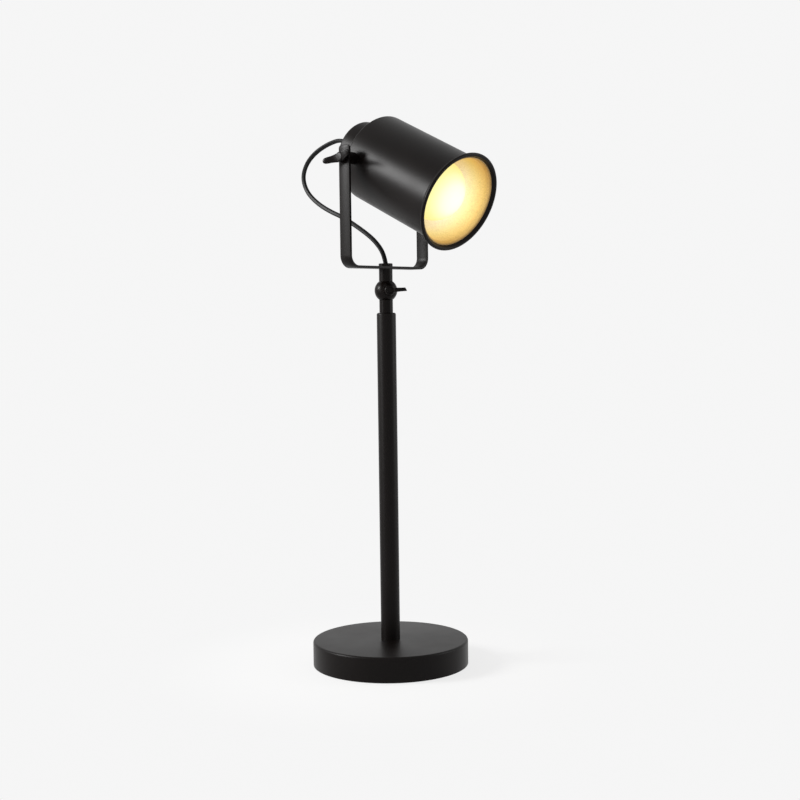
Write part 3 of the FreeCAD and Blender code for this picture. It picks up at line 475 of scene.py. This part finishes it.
def makeYoke():
    half = yoke["width"] / 2
    thick = yoke["thick"]
    wide = yoke["strip"] / 2
    outer = yokeOutline(half, yoke["foot"], yoke["bend"])
    inner = yokeOutline(half - thick, yoke["foot"] + thick, yoke["bend"] - thick)
    middle = [(outside, inside, wide) for outside, inside in zip(outer[1:-1], inner[1:-1])]
    leftEnd = armEnd(outer[0], inner[0])
    stations = leftEnd[::-1] + middle + armEnd(outer[-1], inner[-1])
    rings = []
    for outside, inside, reach in stations:
        rings.append([
            (outside.x, -reach, outside.y), (inside.x, -reach, inside.y),
            (inside.x, reach, inside.y), (outside.x, reach, outside.y),
        ])
    piece = loft("yokeStrip", rings, angle=30)
    softenEdges(piece, yoke["softEdge"], segments=2, angle=60)
    smoothMesh(piece.data, 40)
    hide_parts("yoke_bracket")
    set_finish(piece, "black_paint")
    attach(piece, "yoke")


def ovalRing(along, lift, wide, thick, power, lean=0.0, count=20):
    # a soft section across a wing or a lever; a smaller power makes it squarer
    ring = []
    for step in range(count):
        around = 2 * math.pi * step / count
        cosine, sine = math.cos(around), math.sin(around)
        across = wide * math.copysign(abs(cosine) ** power, cosine)
        up = thick * math.copysign(abs(sine) ** power, sine)
        ring.append((along - up * math.sin(lean), across, lift + up * math.cos(lean)))
    return ring


# the two wing screws that clamp the can in the yoke
wing = {
    "washer": 0.8, "hub": 5.4, "hubTop": 7.2, "hubFoot": 0.5, "hubRound": 1.8, "taper": 0.6,
    "shank": 2.5, "shankEnd": 17.9, "shankRound": 0.4,
    "lean": 24.0, "roll": 11.0, "power": 0.7,
    # along the wing, above the arm's face, half width, half thickness
    "stations": [
        (1.0, 4.4, 4.6, 2.4), (4.0, 5.0, 4.3, 2.1), (7.0, 6.1, 3.7, 1.8), (10.0, 7.5, 3.3, 1.65),
        (13.0, 8.9, 3.2, 1.6), (15.4, 10.0, 2.9, 1.5), (17.0, 10.7, 2.1, 1.2),
        (17.7, 11.0, 1.0, 0.7),
    ],
}


def makeWingScrew(name, node, body, side):
    hub = lathe(name + "Hub", [
        (0, -wing["shankEnd"]), (wing["shank"], -wing["shankEnd"], wing["shankRound"]),
        (wing["shank"], wing["washer"]), (wing["hub"], wing["washer"], wing["hubFoot"]),
        (wing["hub"] - wing["taper"], wing["hubTop"], wing["hubRound"]), (0, wing["hubTop"]),
    ], turns=64)
    lean = math.radians(wing["lean"])
    parts = [hub]
    for turn in (0, math.pi):
        rings = [ovalRing(*station, wing["power"], lean) for station in wing["stations"]]
        ear = loft(name + "Ear", rings, angle=80)
        ear.matrix_world = Matrix.Rotation(turn, 4, "Z")
        parts.append(ear)
    bpy.context.view_layer.update()
    piece = joined(name, parts)
    outward = Matrix.Rotation(math.radians(90 * side), 4, "Y")
    roll = Matrix.Rotation(math.radians(90 - wing["roll"] * side), 4, "Z")
    place = Matrix.Translation((yoke["width"] / 2 * side * milli, 0, pivotHeight * milli))
    piece.matrix_world = place @ outward @ roll
    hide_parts(node)
    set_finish(piece, "black_paint")
    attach(piece, body)


# the lever screw that clamps the knuckle
lever = {
    "seat": 10.0, "hub": 5.0, "hubTop": 15.6, "hubFoot": 0.5, "hubRound": 1.3, "shank": 2.5,
    "dimple": 3.1, "dimpleEdge": 0.4, "dimpleFloor": 2.7, "dimpleRound": 0.3, "dimpleDeep": 0.8,
    "roll": 3.0, "power": 0.5, "slant": 0.8, "slantFrom": 15.0,    # its end is cut at a slant
    # along the lever, depth of its middle, half width, half depth
    "stations": [
        (2.0, 12.9, 2.3, 2.3), (5.0, 12.9, 2.25, 2.2), (8.0, 12.8, 2.1, 2.1),
        (12.0, 12.8, 1.85, 2.1), (16.6, 12.8, 1.8, 2.1),
    ],
}


def makeLever():
    hollow = lever["hubTop"] - lever["dimpleDeep"]
    hub = lathe("leverHub", [
        (0, -lever["seat"]), (lever["shank"], -lever["seat"]), (lever["shank"], lever["seat"]),
        (lever["hub"], lever["seat"], lever["hubFoot"]),
        (lever["hub"], lever["hubTop"], lever["hubRound"]),
        (lever["dimple"], lever["hubTop"], lever["dimpleEdge"]),
        (lever["dimpleFloor"], hollow, lever["dimpleRound"]), (0, hollow),
    ], turns=64)
    rings = []
    for along, middle, half, depth in lever["stations"]:
        ring = ovalRing(along, middle, half, depth, lever["power"])
        if along > lever["slantFrom"]:
            ring = [(x - lever["slant"] * y / half, y, z) for x, y, z in ring]
        rings.append(ring)
    arm = loft("leverArm", rings, angle=50)
    bpy.context.view_layer.update()
    piece = joined("knuckleLever", [hub, arm])
    heading = Matrix.Rotation(math.radians(leverHeading), 4, "Z")
    along = Matrix.Rotation(math.radians(90), 4, "X")
    roll = Matrix.Rotation(math.radians(lever["roll"]), 4, "Z")
    piece.matrix_world = Matrix.Translation((0, 0, ballHeight * milli)) @ heading @ along @ roll
    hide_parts("knuckle_screw")
    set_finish(piece, "black_paint")
    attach(piece, "knuckle_lever")


# moulded strain relief: a flange against the cup and a ribbed taper to the lead
bush = {
    "end": -48.8, "flange": 7.6, "flangeThick": 2.2, "flangeRound": 0.7,
    "tip": 4.2, "tipRound": 0.3, "bore": 2.45, "pocket": 7.0,
    "ribs": 4, "ribStart": 5.9, "ribDeep": 0.5, "ribSlope": 0.25, "ribFoot": 0.1, "ribRound": 0.2,
    "ribNear": 0.15, "ribMiddle": 0.5, "ribFar": 0.55,     # shares of the room for one rib
}


def makeBush():
    start = cup["rear"]
    taper = start - bush["flangeThick"]
    run = taper - bush["end"]
    corners = [(nippleHole, start), (bush["flange"], start),
               (bush["flange"], taper, bush["flangeRound"])]
    for rib in range(bush["ribs"]):
        near = taper - run * (rib + bush["ribNear"]) / bush["ribs"]
        far = taper - run * (rib + bush["ribFar"]) / bush["ribs"]
        narrower = (bush["tip"] - bush["ribStart"]) * (rib + bush["ribMiddle"]) / bush["ribs"]
        radius = bush["ribStart"] + narrower
        valley = radius - bush["ribDeep"]
        corners += [
            (valley, near + bush["ribSlope"], bush["ribFoot"]), (radius, near, bush["ribRound"]),
            (radius, far, bush["ribRound"]), (valley, far - bush["ribSlope"], bush["ribFoot"]),
        ]
    corners += [
        (bush["tip"] - bush["tipRound"], bush["end"], bush["tipRound"]),
        (bush["bore"], bush["end"]), (bush["bore"], start - bush["pocket"]),
        (nippleHole, start - bush["pocket"]),
    ]
    piece = lathe("leadBush", corners, headFrame, turns=64, steps=4)
    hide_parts("cord_bush")
    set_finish(piece, "black_plastic")
    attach(piece, "head")


makeBase()
makePole()
makeCan()
makeLiner()
makeRearCup()
makeBulb()
makeYoke()
makeWingScrew("leftWing", "left_wing_screw", "left_screw", -1)
makeWingScrew("rightWing", "right_wing_screw", "right_screw", 1)
makeLever()
makeBush()
print("pieces made")


# helpers that build shader trees; a term is another node's output or a plain value
def feed(tree, socket, term):
    if isinstance(term, bpy.types.NodeSocket):
        tree.links.new(term, socket)
    else:
        socket.default_value = term


def mathNode(tree, operation, *terms):
    node = tree.nodes.new("ShaderNodeMath")
    node.operation = operation
    for socket, term in zip(node.inputs, terms):
        feed(tree, socket, term)
    return node.outputs["Value"]


def vectorNode(tree, operation, *terms):
    node = tree.nodes.new("ShaderNodeVectorMath")
    node.operation = operation
    second = node.inputs["Scale"] if operation == "SCALE" else node.inputs[1]
    for socket, term in zip((node.inputs[0], second), terms):
        feed(tree, socket, term)
    return node.outputs["Value" if operation in ("DOT_PRODUCT", "LENGTH") else "Vector"]


def mapRange(tree, value, fromRange, toRange=(0.0, 1.0), curve="LINEAR"):
    node = tree.nodes.new("ShaderNodeMapRange")
    node.interpolation_type = curve
    for label, limit in zip(("From Min", "From Max", "To Min", "To Max"), (*fromRange, *toRange)):
        node.inputs[label].default_value = limit
    tree.links.new(value, node.inputs["Value"])
    return node.outputs["Result"]


def mixTones(tree, factor, first, second):
    node = tree.nodes.new("ShaderNodeMix")
    node.data_type = "RGBA"
    tree.links.new(factor, node.inputs["Factor"])
    ends = [socket for socket in node.inputs if socket.type == "RGBA"]
    feed(tree, ends[0], first)
    feed(tree, ends[1], second)
    return [socket for socket in node.outputs if socket.type == "RGBA"][0]


def newGroup(name, inputs, outputs):
    group = bpy.data.node_groups.new(name, "ShaderNodeTree")
    for label, kind, value in inputs:
        socket = group.interface.new_socket(label, in_out="INPUT", socket_type=kind)
        if value is not None:
            socket.default_value = value
    for label, kind in outputs:
        group.interface.new_socket(label, in_out="OUTPUT", socket_type=kind)
    source = group.nodes.new("NodeGroupInput")
    sink = group.nodes.new("NodeGroupOutput")
    return group, source, sink


grain = {"scale": 900.0, "detail": 3.0, "valleyRange": (0.35, 0.6)}


def makeGrainGroup():
    # fine bumps of a sprayed or moulded skin: their height, and a mask of their valleys
    group, source, sink = newGroup("skinGrain", [
        ("Vector", "NodeSocketVector", None), ("Scale", "NodeSocketFloat", grain["scale"]),
        ("Detail", "NodeSocketFloat", grain["detail"]),
    ], [("Height", "NodeSocketFloat"), ("Valleys", "NodeSocketFloat")])
    fine = group.nodes.new("ShaderNodeTexNoise")
    for label in ("Vector", "Scale", "Detail"):
        group.links.new(source.outputs[label], fine.inputs[label])
    valleys = mapRange(group, fine.outputs["Fac"], grain["valleyRange"], (1.0, 0.0))
    group.links.new(fine.outputs["Fac"], sink.inputs["Height"])
    group.links.new(valleys, sink.inputs["Valleys"])
    return group


cloud = {
    "scale": 14.0, "detail": 5.0, "spread": (0.3, 0.7), "smooth": 0.35, "rough": 0.5,
    "dark": (0.02, 0.02, 0.02, 1), "light": (0.04, 0.04, 0.04, 1),
}


def makeCloudGroup():
    # slow unevenness of a finish: a colour between two, and a roughness between two
    group, source, sink = newGroup("slowCloud", [
        ("Vector", "NodeSocketVector", None), ("Scale", "NodeSocketFloat", cloud["scale"]),
        ("Dark", "NodeSocketColor", cloud["dark"]), ("Light", "NodeSocketColor", cloud["light"]),
        ("Smooth", "NodeSocketFloat", cloud["smooth"]),
        ("Rough", "NodeSocketFloat", cloud["rough"]),
    ], [("Color", "NodeSocketColor"), ("Roughness", "NodeSocketFloat")])
    slow = group.nodes.new("ShaderNodeTexNoise")
    slow.inputs["Detail"].default_value = cloud["detail"]
    for label in ("Vector", "Scale"):
        group.links.new(source.outputs[label], slow.inputs[label])
    spread = mapRange(group, slow.outputs["Fac"], cloud["spread"])
    tone = mixTones(group, spread, source.outputs["Dark"], source.outputs["Light"])
    rough = group.nodes.new("ShaderNodeMix")
    group.links.new(spread, rough.inputs["Factor"])
    group.links.new(source.outputs["Smooth"], rough.inputs["A"])
    group.links.new(source.outputs["Rough"], rough.inputs["B"])
    group.links.new(tone, sink.inputs["Color"])
    group.links.new(rough.outputs["Result"], sink.inputs["Roughness"])
    return group


grainGroup = makeGrainGroup()
cloudGroup = makeCloudGroup()


def placeGroup(material, group, vector, values):
    node = material.node_tree.nodes.new("ShaderNodeGroup")
    node.node_tree = group
    material.node_tree.links.new(vector, node.inputs["Vector"])
    for label, value in values.items():
        node.inputs[label].default_value = value
    return node


def startMaterial(name):
    material = bpy.data.materials.new(name)
    material.use_nodes = True
    nodes = material.node_tree.nodes
    place = nodes.new("ShaderNodeTexCoord")
    return material, nodes["Principled BSDF"], place.outputs["Object"]


def addBump(material, shader, skin, strength, depth):
    # the skin's height as bumps, their depth in millimetres
    tree = material.node_tree
    bump = tree.nodes.new("ShaderNodeBump")
    bump.inputs["Strength"].default_value = strength
    bump.inputs["Distance"].default_value = depth * milli
    tree.links.new(skin.outputs["Height"], bump.inputs["Height"])
    tree.links.new(bump.outputs["Normal"], shader.inputs["Normal"])


def finishMaterial(name, look):
    # an uneven colour and roughness with a fine skin over it
    material, shader, place = startMaterial(name)
    links = material.node_tree.links
    uneven = placeGroup(material, cloudGroup, place, {
        "Scale": look["cloudScale"], "Dark": (*look["dark"], 1), "Light": (*look["light"], 1),
        "Smooth": look["smooth"], "Rough": look["rough"],
    })
    skin = placeGroup(material, grainGroup, place, {
        "Scale": look["grainScale"], "Detail": look.get("detail", grain["detail"]),
    })
    links.new(uneven.outputs["Color"], shader.inputs["Base Color"])
    links.new(uneven.outputs["Roughness"], shader.inputs["Roughness"])
    addBump(material, shader, skin, look["bump"], look["depth"])
    shader.inputs["Metallic"].default_value = look.get("metal", 0.0)
    shader.inputs["Specular IOR Level"].default_value = look.get("specular", 0.5)
    return material, shader, place, skin


looks = {
    "blackCoat": {
        "dark": (0.0030, 0.0020, 0.0017), "light": (0.0044, 0.0029, 0.0025), "cloudScale": 22,
        "smooth": 0.34, "rough": 0.4, "specular": 0.11,
        "grainScale": 2200, "bump": 0.15, "depth": 0.04,
    },
    "blackSmall": {
        "dark": (0.0030, 0.0020, 0.0017), "light": (0.0044, 0.0029, 0.0025), "cloudScale": 40,
        "smooth": 0.26, "rough": 0.31, "specular": 0.09,
        "grainScale": 2200, "bump": 0.12, "depth": 0.03,
    },
    "blackSheath": {
        "dark": (0.004, 0.004, 0.004), "light": (0.007, 0.007, 0.007), "cloudScale": 40,
        "smooth": 0.38, "rough": 0.5, "specular": 0.11,
        "grainScale": 1500, "bump": 0.1, "depth": 0.03,
    },
    "blackMoulded": {
        "dark": (0.006, 0.006, 0.006), "light": (0.01, 0.01, 0.01), "cloudScale": 40,
        "smooth": 0.42, "rough": 0.55, "specular": 0.15,
        "grainScale": 3000, "bump": 0.3, "depth": 0.05,
    },
    "softRubber": {
        "dark": (0.01, 0.01, 0.01), "light": (0.018, 0.018, 0.018), "cloudScale": 30,
        "smooth": 0.7, "rough": 0.85, "specular": 0.3,
        "grainScale": 2500, "bump": 0.4, "depth": 0.08,
    },
    "zincPlate": {
        "dark": (0.5, 0.5, 0.48), "light": (0.66, 0.66, 0.64), "cloudScale": 90,
        "smooth": 0.28, "rough": 0.45, "metal": 1.0,
        "grainScale": 1800, "bump": 0.1, "depth": 0.02,
    },
    "rawIron": {
        "dark": (0.09, 0.09, 0.09), "light": (0.17, 0.16, 0.15), "cloudScale": 60,
        "smooth": 0.6, "rough": 0.85, "metal": 0.6,
        "grainScale": 700, "bump": 0.7, "depth": 0.3,
    },
    "bareBrass": {
        "dark": (0.6, 0.42, 0.16), "light": (0.75, 0.56, 0.25), "cloudScale": 80,
        "smooth": 0.25, "rough": 0.4, "metal": 1.0,
        "grainScale": 1800, "bump": 0.1, "depth": 0.02,
    },
    "glazedWhite": {
        "dark": (0.75, 0.74, 0.7), "light": (0.85, 0.84, 0.8), "cloudScale": 60,
        "smooth": 0.15, "rough": 0.3,
        "grainScale": 900, "bump": 0.05, "depth": 0.03,
    },
    "bareAluminium": {
        "dark": (0.62, 0.62, 0.62), "light": (0.76, 0.76, 0.76), "cloudScale": 90,
        "smooth": 0.3, "rough": 0.45, "metal": 1.0,
        "grainScale": 1800, "bump": 0.1, "depth": 0.02,
    },
}
materials = {name: finishMaterial(name, look)[0] for name, look in looks.items()}


def heightRamp(material, place, stops):
    # colour by height in the piece's own frame; a stop is (millimetres, colour)
    tree = material.node_tree
    split = tree.nodes.new("ShaderNodeSeparateXYZ")
    tree.links.new(place, split.inputs["Vector"])
    low, high = stops[0][0], stops[-1][0]
    height = mapRange(tree, split.outputs["Z"], (low * milli, high * milli))
    ramp = tree.nodes.new("ShaderNodeValToRGB")
    elements = ramp.color_ramp.elements
    elements[0].color = (*stops[0][1], 1)
    elements[1].color = (*stops[-1][1], 1)
    for level, tone in stops[1:-1]:
        elements.new((level - low) / (high - low)).color = (*tone, 1)
    tree.links.new(height, ramp.inputs["Fac"])
    return ramp.outputs["Color"]


# sandy gold lacquer with painted light: an emission brightest deep in the can, standing in for
# the bulb's light gathering there
gold = {
    "dark": (0.26, 0.17, 0.07), "light": (0.34, 0.23, 0.1), "cloudScale": 160,
    "smooth": 0.4, "rough": 0.52, "metal": 0.4,
    "grainScale": 1500, "detail": 4.0, "bump": 0.6, "depth": 0.14,
    # painted light: the emission's strength on the grain's tops and in its valleys
    "paintedGlowOnGrain": (1.12, 0.72),              # the glow on the grain's tops and in its valleys
    "glow": [
        (20, (0.9, 0.7, 0.3)), (70, (1.0, 0.99, 0.72)), (77, (1.0, 0.98, 0.62)),
        (84, (0.98, 0.92, 0.48)), (91, (0.93, 0.77, 0.33)), (98, (0.82, 0.59, 0.21)),
        (103, (0.56, 0.37, 0.11)), (105.3, (0.03, 0.015, 0.005)),
    ],
    "strength": 0.97,
    # painted shade and light: tint of the side walls, what painted light the far wall adds, and
    # the painted shade of the upper side
    "paintedShadeTint": (0.42, 0.27, 0.05), "paintedLightSideShare": 0.12,
    "paintedLightWallShare": 0.88, "wallSide": (0.961, -0.278, 0.0), "paintedUpperShade": (-0.04, -0.13, 0.0),
}


def makeGoldPaintedGlowMaterial():
    material, shader, place, skin = finishMaterial("goldLacquerPaintedGlow", gold)
    tree = material.node_tree
    # the wall's share of the painted bulb light, by its direction from the axis
    inside = (liner["outer"] - liner["wall"]) * milli
    across = vectorNode(tree, "DOT_PRODUCT", place, Vector(gold["wallSide"]) / inside)
    upper = vectorNode(tree, "DOT_PRODUCT", place, Vector(gold["paintedUpperShade"]) / inside)
    square = mathNode(tree, "MULTIPLY", across, across)
    facing = mathNode(tree, "MULTIPLY_ADD", square, gold["paintedLightWallShare"], gold["paintedLightSideShare"])
    paintedLightShare = mathNode(tree, "ADD", facing, upper)
    # painted shade: where the wall's share is low, the glow is tinted darker and browner
    tint = mixTones(tree, paintedLightShare, (*gold["paintedShadeTint"], 1), (1, 1, 1, 1))
    paintedBulbLight = vectorNode(tree, "MULTIPLY", heightRamp(material, place, gold["glow"]), tint)
    paintedGlowOnGrain = mapRange(tree, skin.outputs["Valleys"], (0.0, 1.0), gold["paintedGlowOnGrain"])
    paintedGlowSpeckled = vectorNode(tree, "SCALE", paintedBulbLight, paintedGlowOnGrain)
    # painted light: the liner's emission stands in for the bulb's light falling on it, though the
    # liner is no lamp
    tree.links.new(paintedGlowSpeckled, shader.inputs["Emission Color"])
    shader.inputs["Emission Strength"].default_value = gold["strength"]
    return material


# frosted and lit: whitest at the top of the bulb, warmer down its sides
frost = {
    "tone": (0.25, 0.23, 0.16, 1), "rough": 0.55, "specular": 0.1,
    "grainScale": 2600, "bump": 0.2, "depth": 0.02,
    "glow": [
        (30, (0.8, 0.5, 0.12)), (64, (0.88, 0.68, 0.2)), (76, (0.9, 0.76, 0.25)),
        (84, (0.93, 0.83, 0.29)), (90, (0.96, 0.91, 0.38)), (95, (0.98, 0.97, 0.56)),
        (99, (1.0, 1.0, 0.8)), (102, (1.0, 1.0, 0.92)),
    ],
    "strength": 0.92,
}


def makeBulbMaterial():
    material, shader, place = startMaterial("litFrost")
    skin = placeGroup(material, grainGroup, place, {"Scale": frost["grainScale"]})
    addBump(material, shader, skin, frost["bump"], frost["depth"])
    tone = heightRamp(material, place, frost["glow"])
    material.node_tree.links.new(tone, shader.inputs["Emission Color"])
    shader.inputs["Base Color"].default_value = frost["tone"]
    shader.inputs["Roughness"].default_value = frost["rough"]
    shader.inputs["Specular IOR Level"].default_value = frost["specular"]
    shader.inputs["Emission Strength"].default_value = frost["strength"]
    return material


materials["goldLacquerPaintedGlow"] = makeGoldPaintedGlowMaterial()
materials["litFrost"] = makeBulbMaterial()

slotLooks = {
    "black_paint": "blackCoat", "gold_lacquer": "goldLacquerPaintedGlow", "plated_steel": "zincPlate",
    "raw_iron": "rawIron", "rubber": "softRubber", "lead_sheath": "blackSheath",
    "black_plastic": "blackMoulded", "white_ceramic": "glazedWhite", "brass": "bareBrass",
    "bulb_glass": "litFrost", "bulb_cap": "bareAluminium",
}
nodeSlots = {part["node"]: part["material_slot"] for part in frame["record"]["subparts"]}
# small turned parts, painted thinner and a little glossier than the can and the base
smallParts = (
    "knuckle_lower", "knuckle_upper", "yoke_nut", "knuckleLever", "leftWing", "rightWing",
)


def materialFor(name, slot):
    return materials["blackSmall" if name in smallParts else slotLooks[slot]]


def dressAll():
    for node, piece in frame["nodes"].items():
        for slot in piece.material_slots:
            slot.material = materialFor(node, nodeSlots[node])
    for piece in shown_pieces():
        if "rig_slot" in piece and "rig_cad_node" not in piece:
            piece.data.materials.clear()
            piece.data.materials.append(materialFor(piece.name, piece["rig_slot"]))


dressAll()
print("materials placed")


# pale studio, lit from behind the lamp; sizes and places of the lights are in metres
studio = {
    "backdrop": 0.919, "tint": (1.0, 0.965, 0.94),
    # level of the soft light from the front and from behind, and where behind is
    "levels": (0.25, 0.6), "turn": (-0.3, 1.0), "heading": (0.7314, 0.682, 0.0),
    # a weak matt share near the base takes its shadow, and fades out with the distance;
    # floorLevel is how bright that share is where no shadow falls
    "floorSize": 30.0, "floorTone": 0.9, "floorShare": 0.2, "floorLevel": 0.72,
    "fade": (0.08, 0.26),
    "aim": (0, -0.04, 0.48),
    "lights": {
        "keyLight": {"power": 46.0, "size": (0.58, 0.66), "place": (-1.37, 1.13, 1.08)},
        "fillLight": {"power": 10.0, "size": (0.8, 1.6), "place": (1.35, -1.45, 0.65)},
        "lowLight": {"power": 4.0, "size": (0.5, 0.7), "place": (-1.75, 0.75, 0.42)},
    },
}


def grey(level):
    return (level, level, level, 1)


def tonedNode(tree, kind, tone):
    node = tree.nodes.new(kind)
    node.inputs["Color"].default_value = tone
    return node.outputs[0]


def mixShaders(tree, factor, first, second):
    node = tree.nodes.new("ShaderNodeMixShader")
    tree.links.new(factor, node.inputs["Fac"])
    tree.links.new(first, node.inputs[1])
    tree.links.new(second, node.inputs[2])
    return node.outputs[0]


def seenMask(tree):
    # 1 for what the camera sees, directly or in gloss and glass
    path = tree.nodes.new("ShaderNodeLightPath")
    mask = path.outputs["Is Camera Ray"]
    for kind in ("Is Glossy Ray", "Is Transmission Ray"):
        mask = mathNode(tree, "MAXIMUM", mask, path.outputs[kind])
    return mask


def makeWorld():
    # what is seen is the plain backdrop; the light is softly stronger from behind the lamp
    world = bpy.data.worlds.new("paleStudio")
    bpy.context.scene.world = world
    world.use_nodes = True
    tree = world.node_tree
    backdrop = tree.nodes["Background"]
    backdrop.inputs["Color"].default_value = grey(studio["backdrop"])
    place = tree.nodes.new("ShaderNodeTexCoord")
    facing = vectorNode(tree, "DOT_PRODUCT", place.outputs["Generated"], studio["heading"])
    ambient = tree.nodes.new("ShaderNodeBackground")
    ambient.inputs["Color"].default_value = (*studio["tint"], 1)
    level = mapRange(tree, facing, studio["turn"], studio["levels"])
    tree.links.new(level, ambient.inputs["Strength"])
    final = mixShaders(tree, seenMask(tree), ambient.outputs[0], backdrop.outputs[0])
    tree.links.new(final, tree.nodes["World Output"].inputs["Surface"])


def makeFloorMaterial():
    material = bpy.data.materials.new("paleFloor")
    material.use_nodes = True
    tree = material.node_tree
    tree.nodes.remove(tree.nodes["Principled BSDF"])
    share = studio["floorShare"]
    level = studio["backdrop"] - studio["floorLevel"] * share
    matt = tonedNode(tree, "ShaderNodeBsdfDiffuse", grey(studio["backdrop"]))
    weak = tonedNode(tree, "ShaderNodeBsdfDiffuse", grey(studio["floorTone"] * share))
    plain = tonedNode(tree, "ShaderNodeEmission", grey(studio["backdrop"]))
    rest = tonedNode(tree, "ShaderNodeEmission", grey(level))
    near = tree.nodes.new("ShaderNodeAddShader")
    tree.links.new(weak, near.inputs[0])
    tree.links.new(rest, near.inputs[1])
    place = tree.nodes.new("ShaderNodeTexCoord")
    reach = vectorNode(tree, "LENGTH", place.outputs["Object"])
    fade = mapRange(tree, reach, studio["fade"], curve="SMOOTHSTEP")
    shadowed = mixShaders(tree, fade, near.outputs[0], plain)
    final = mixShaders(tree, seenMask(tree), matt, shadowed)
    tree.links.new(final, tree.nodes["Material Output"].inputs["Surface"])
    return material


def makeFloor():
    half = studio["floorSize"] / 2
    corners = [(-half, -half, 0), (half, -half, 0), (half, half, 0), (-half, half, 0)]
    mesh = bpy.data.meshes.new("paleFloor")
    mesh.from_pydata(corners, [], [(0, 1, 2, 3)])
    mesh.materials.append(makeFloorMaterial())
    floor = link("paleFloor", mesh)


def makeLight(name, lamp):
    data = bpy.data.lights.new(name, "AREA")
    data.shape = "RECTANGLE"
    data.size, data.size_y = lamp["size"]
    data.energy = lamp["power"]
    light = link(name, data)
    light.location = lamp["place"]
    light.rotation_mode = "QUATERNION"
    away = Vector(lamp["place"]) - Vector(studio["aim"])
    light.rotation_quaternion = away.to_track_quat("Z", "Y")


makeWorld()
makeFloor()
for name, lamp in studio["lights"].items():
    makeLight(name, lamp)
bpy.context.scene.view_settings.view_transform = "Standard"
print("studio set")
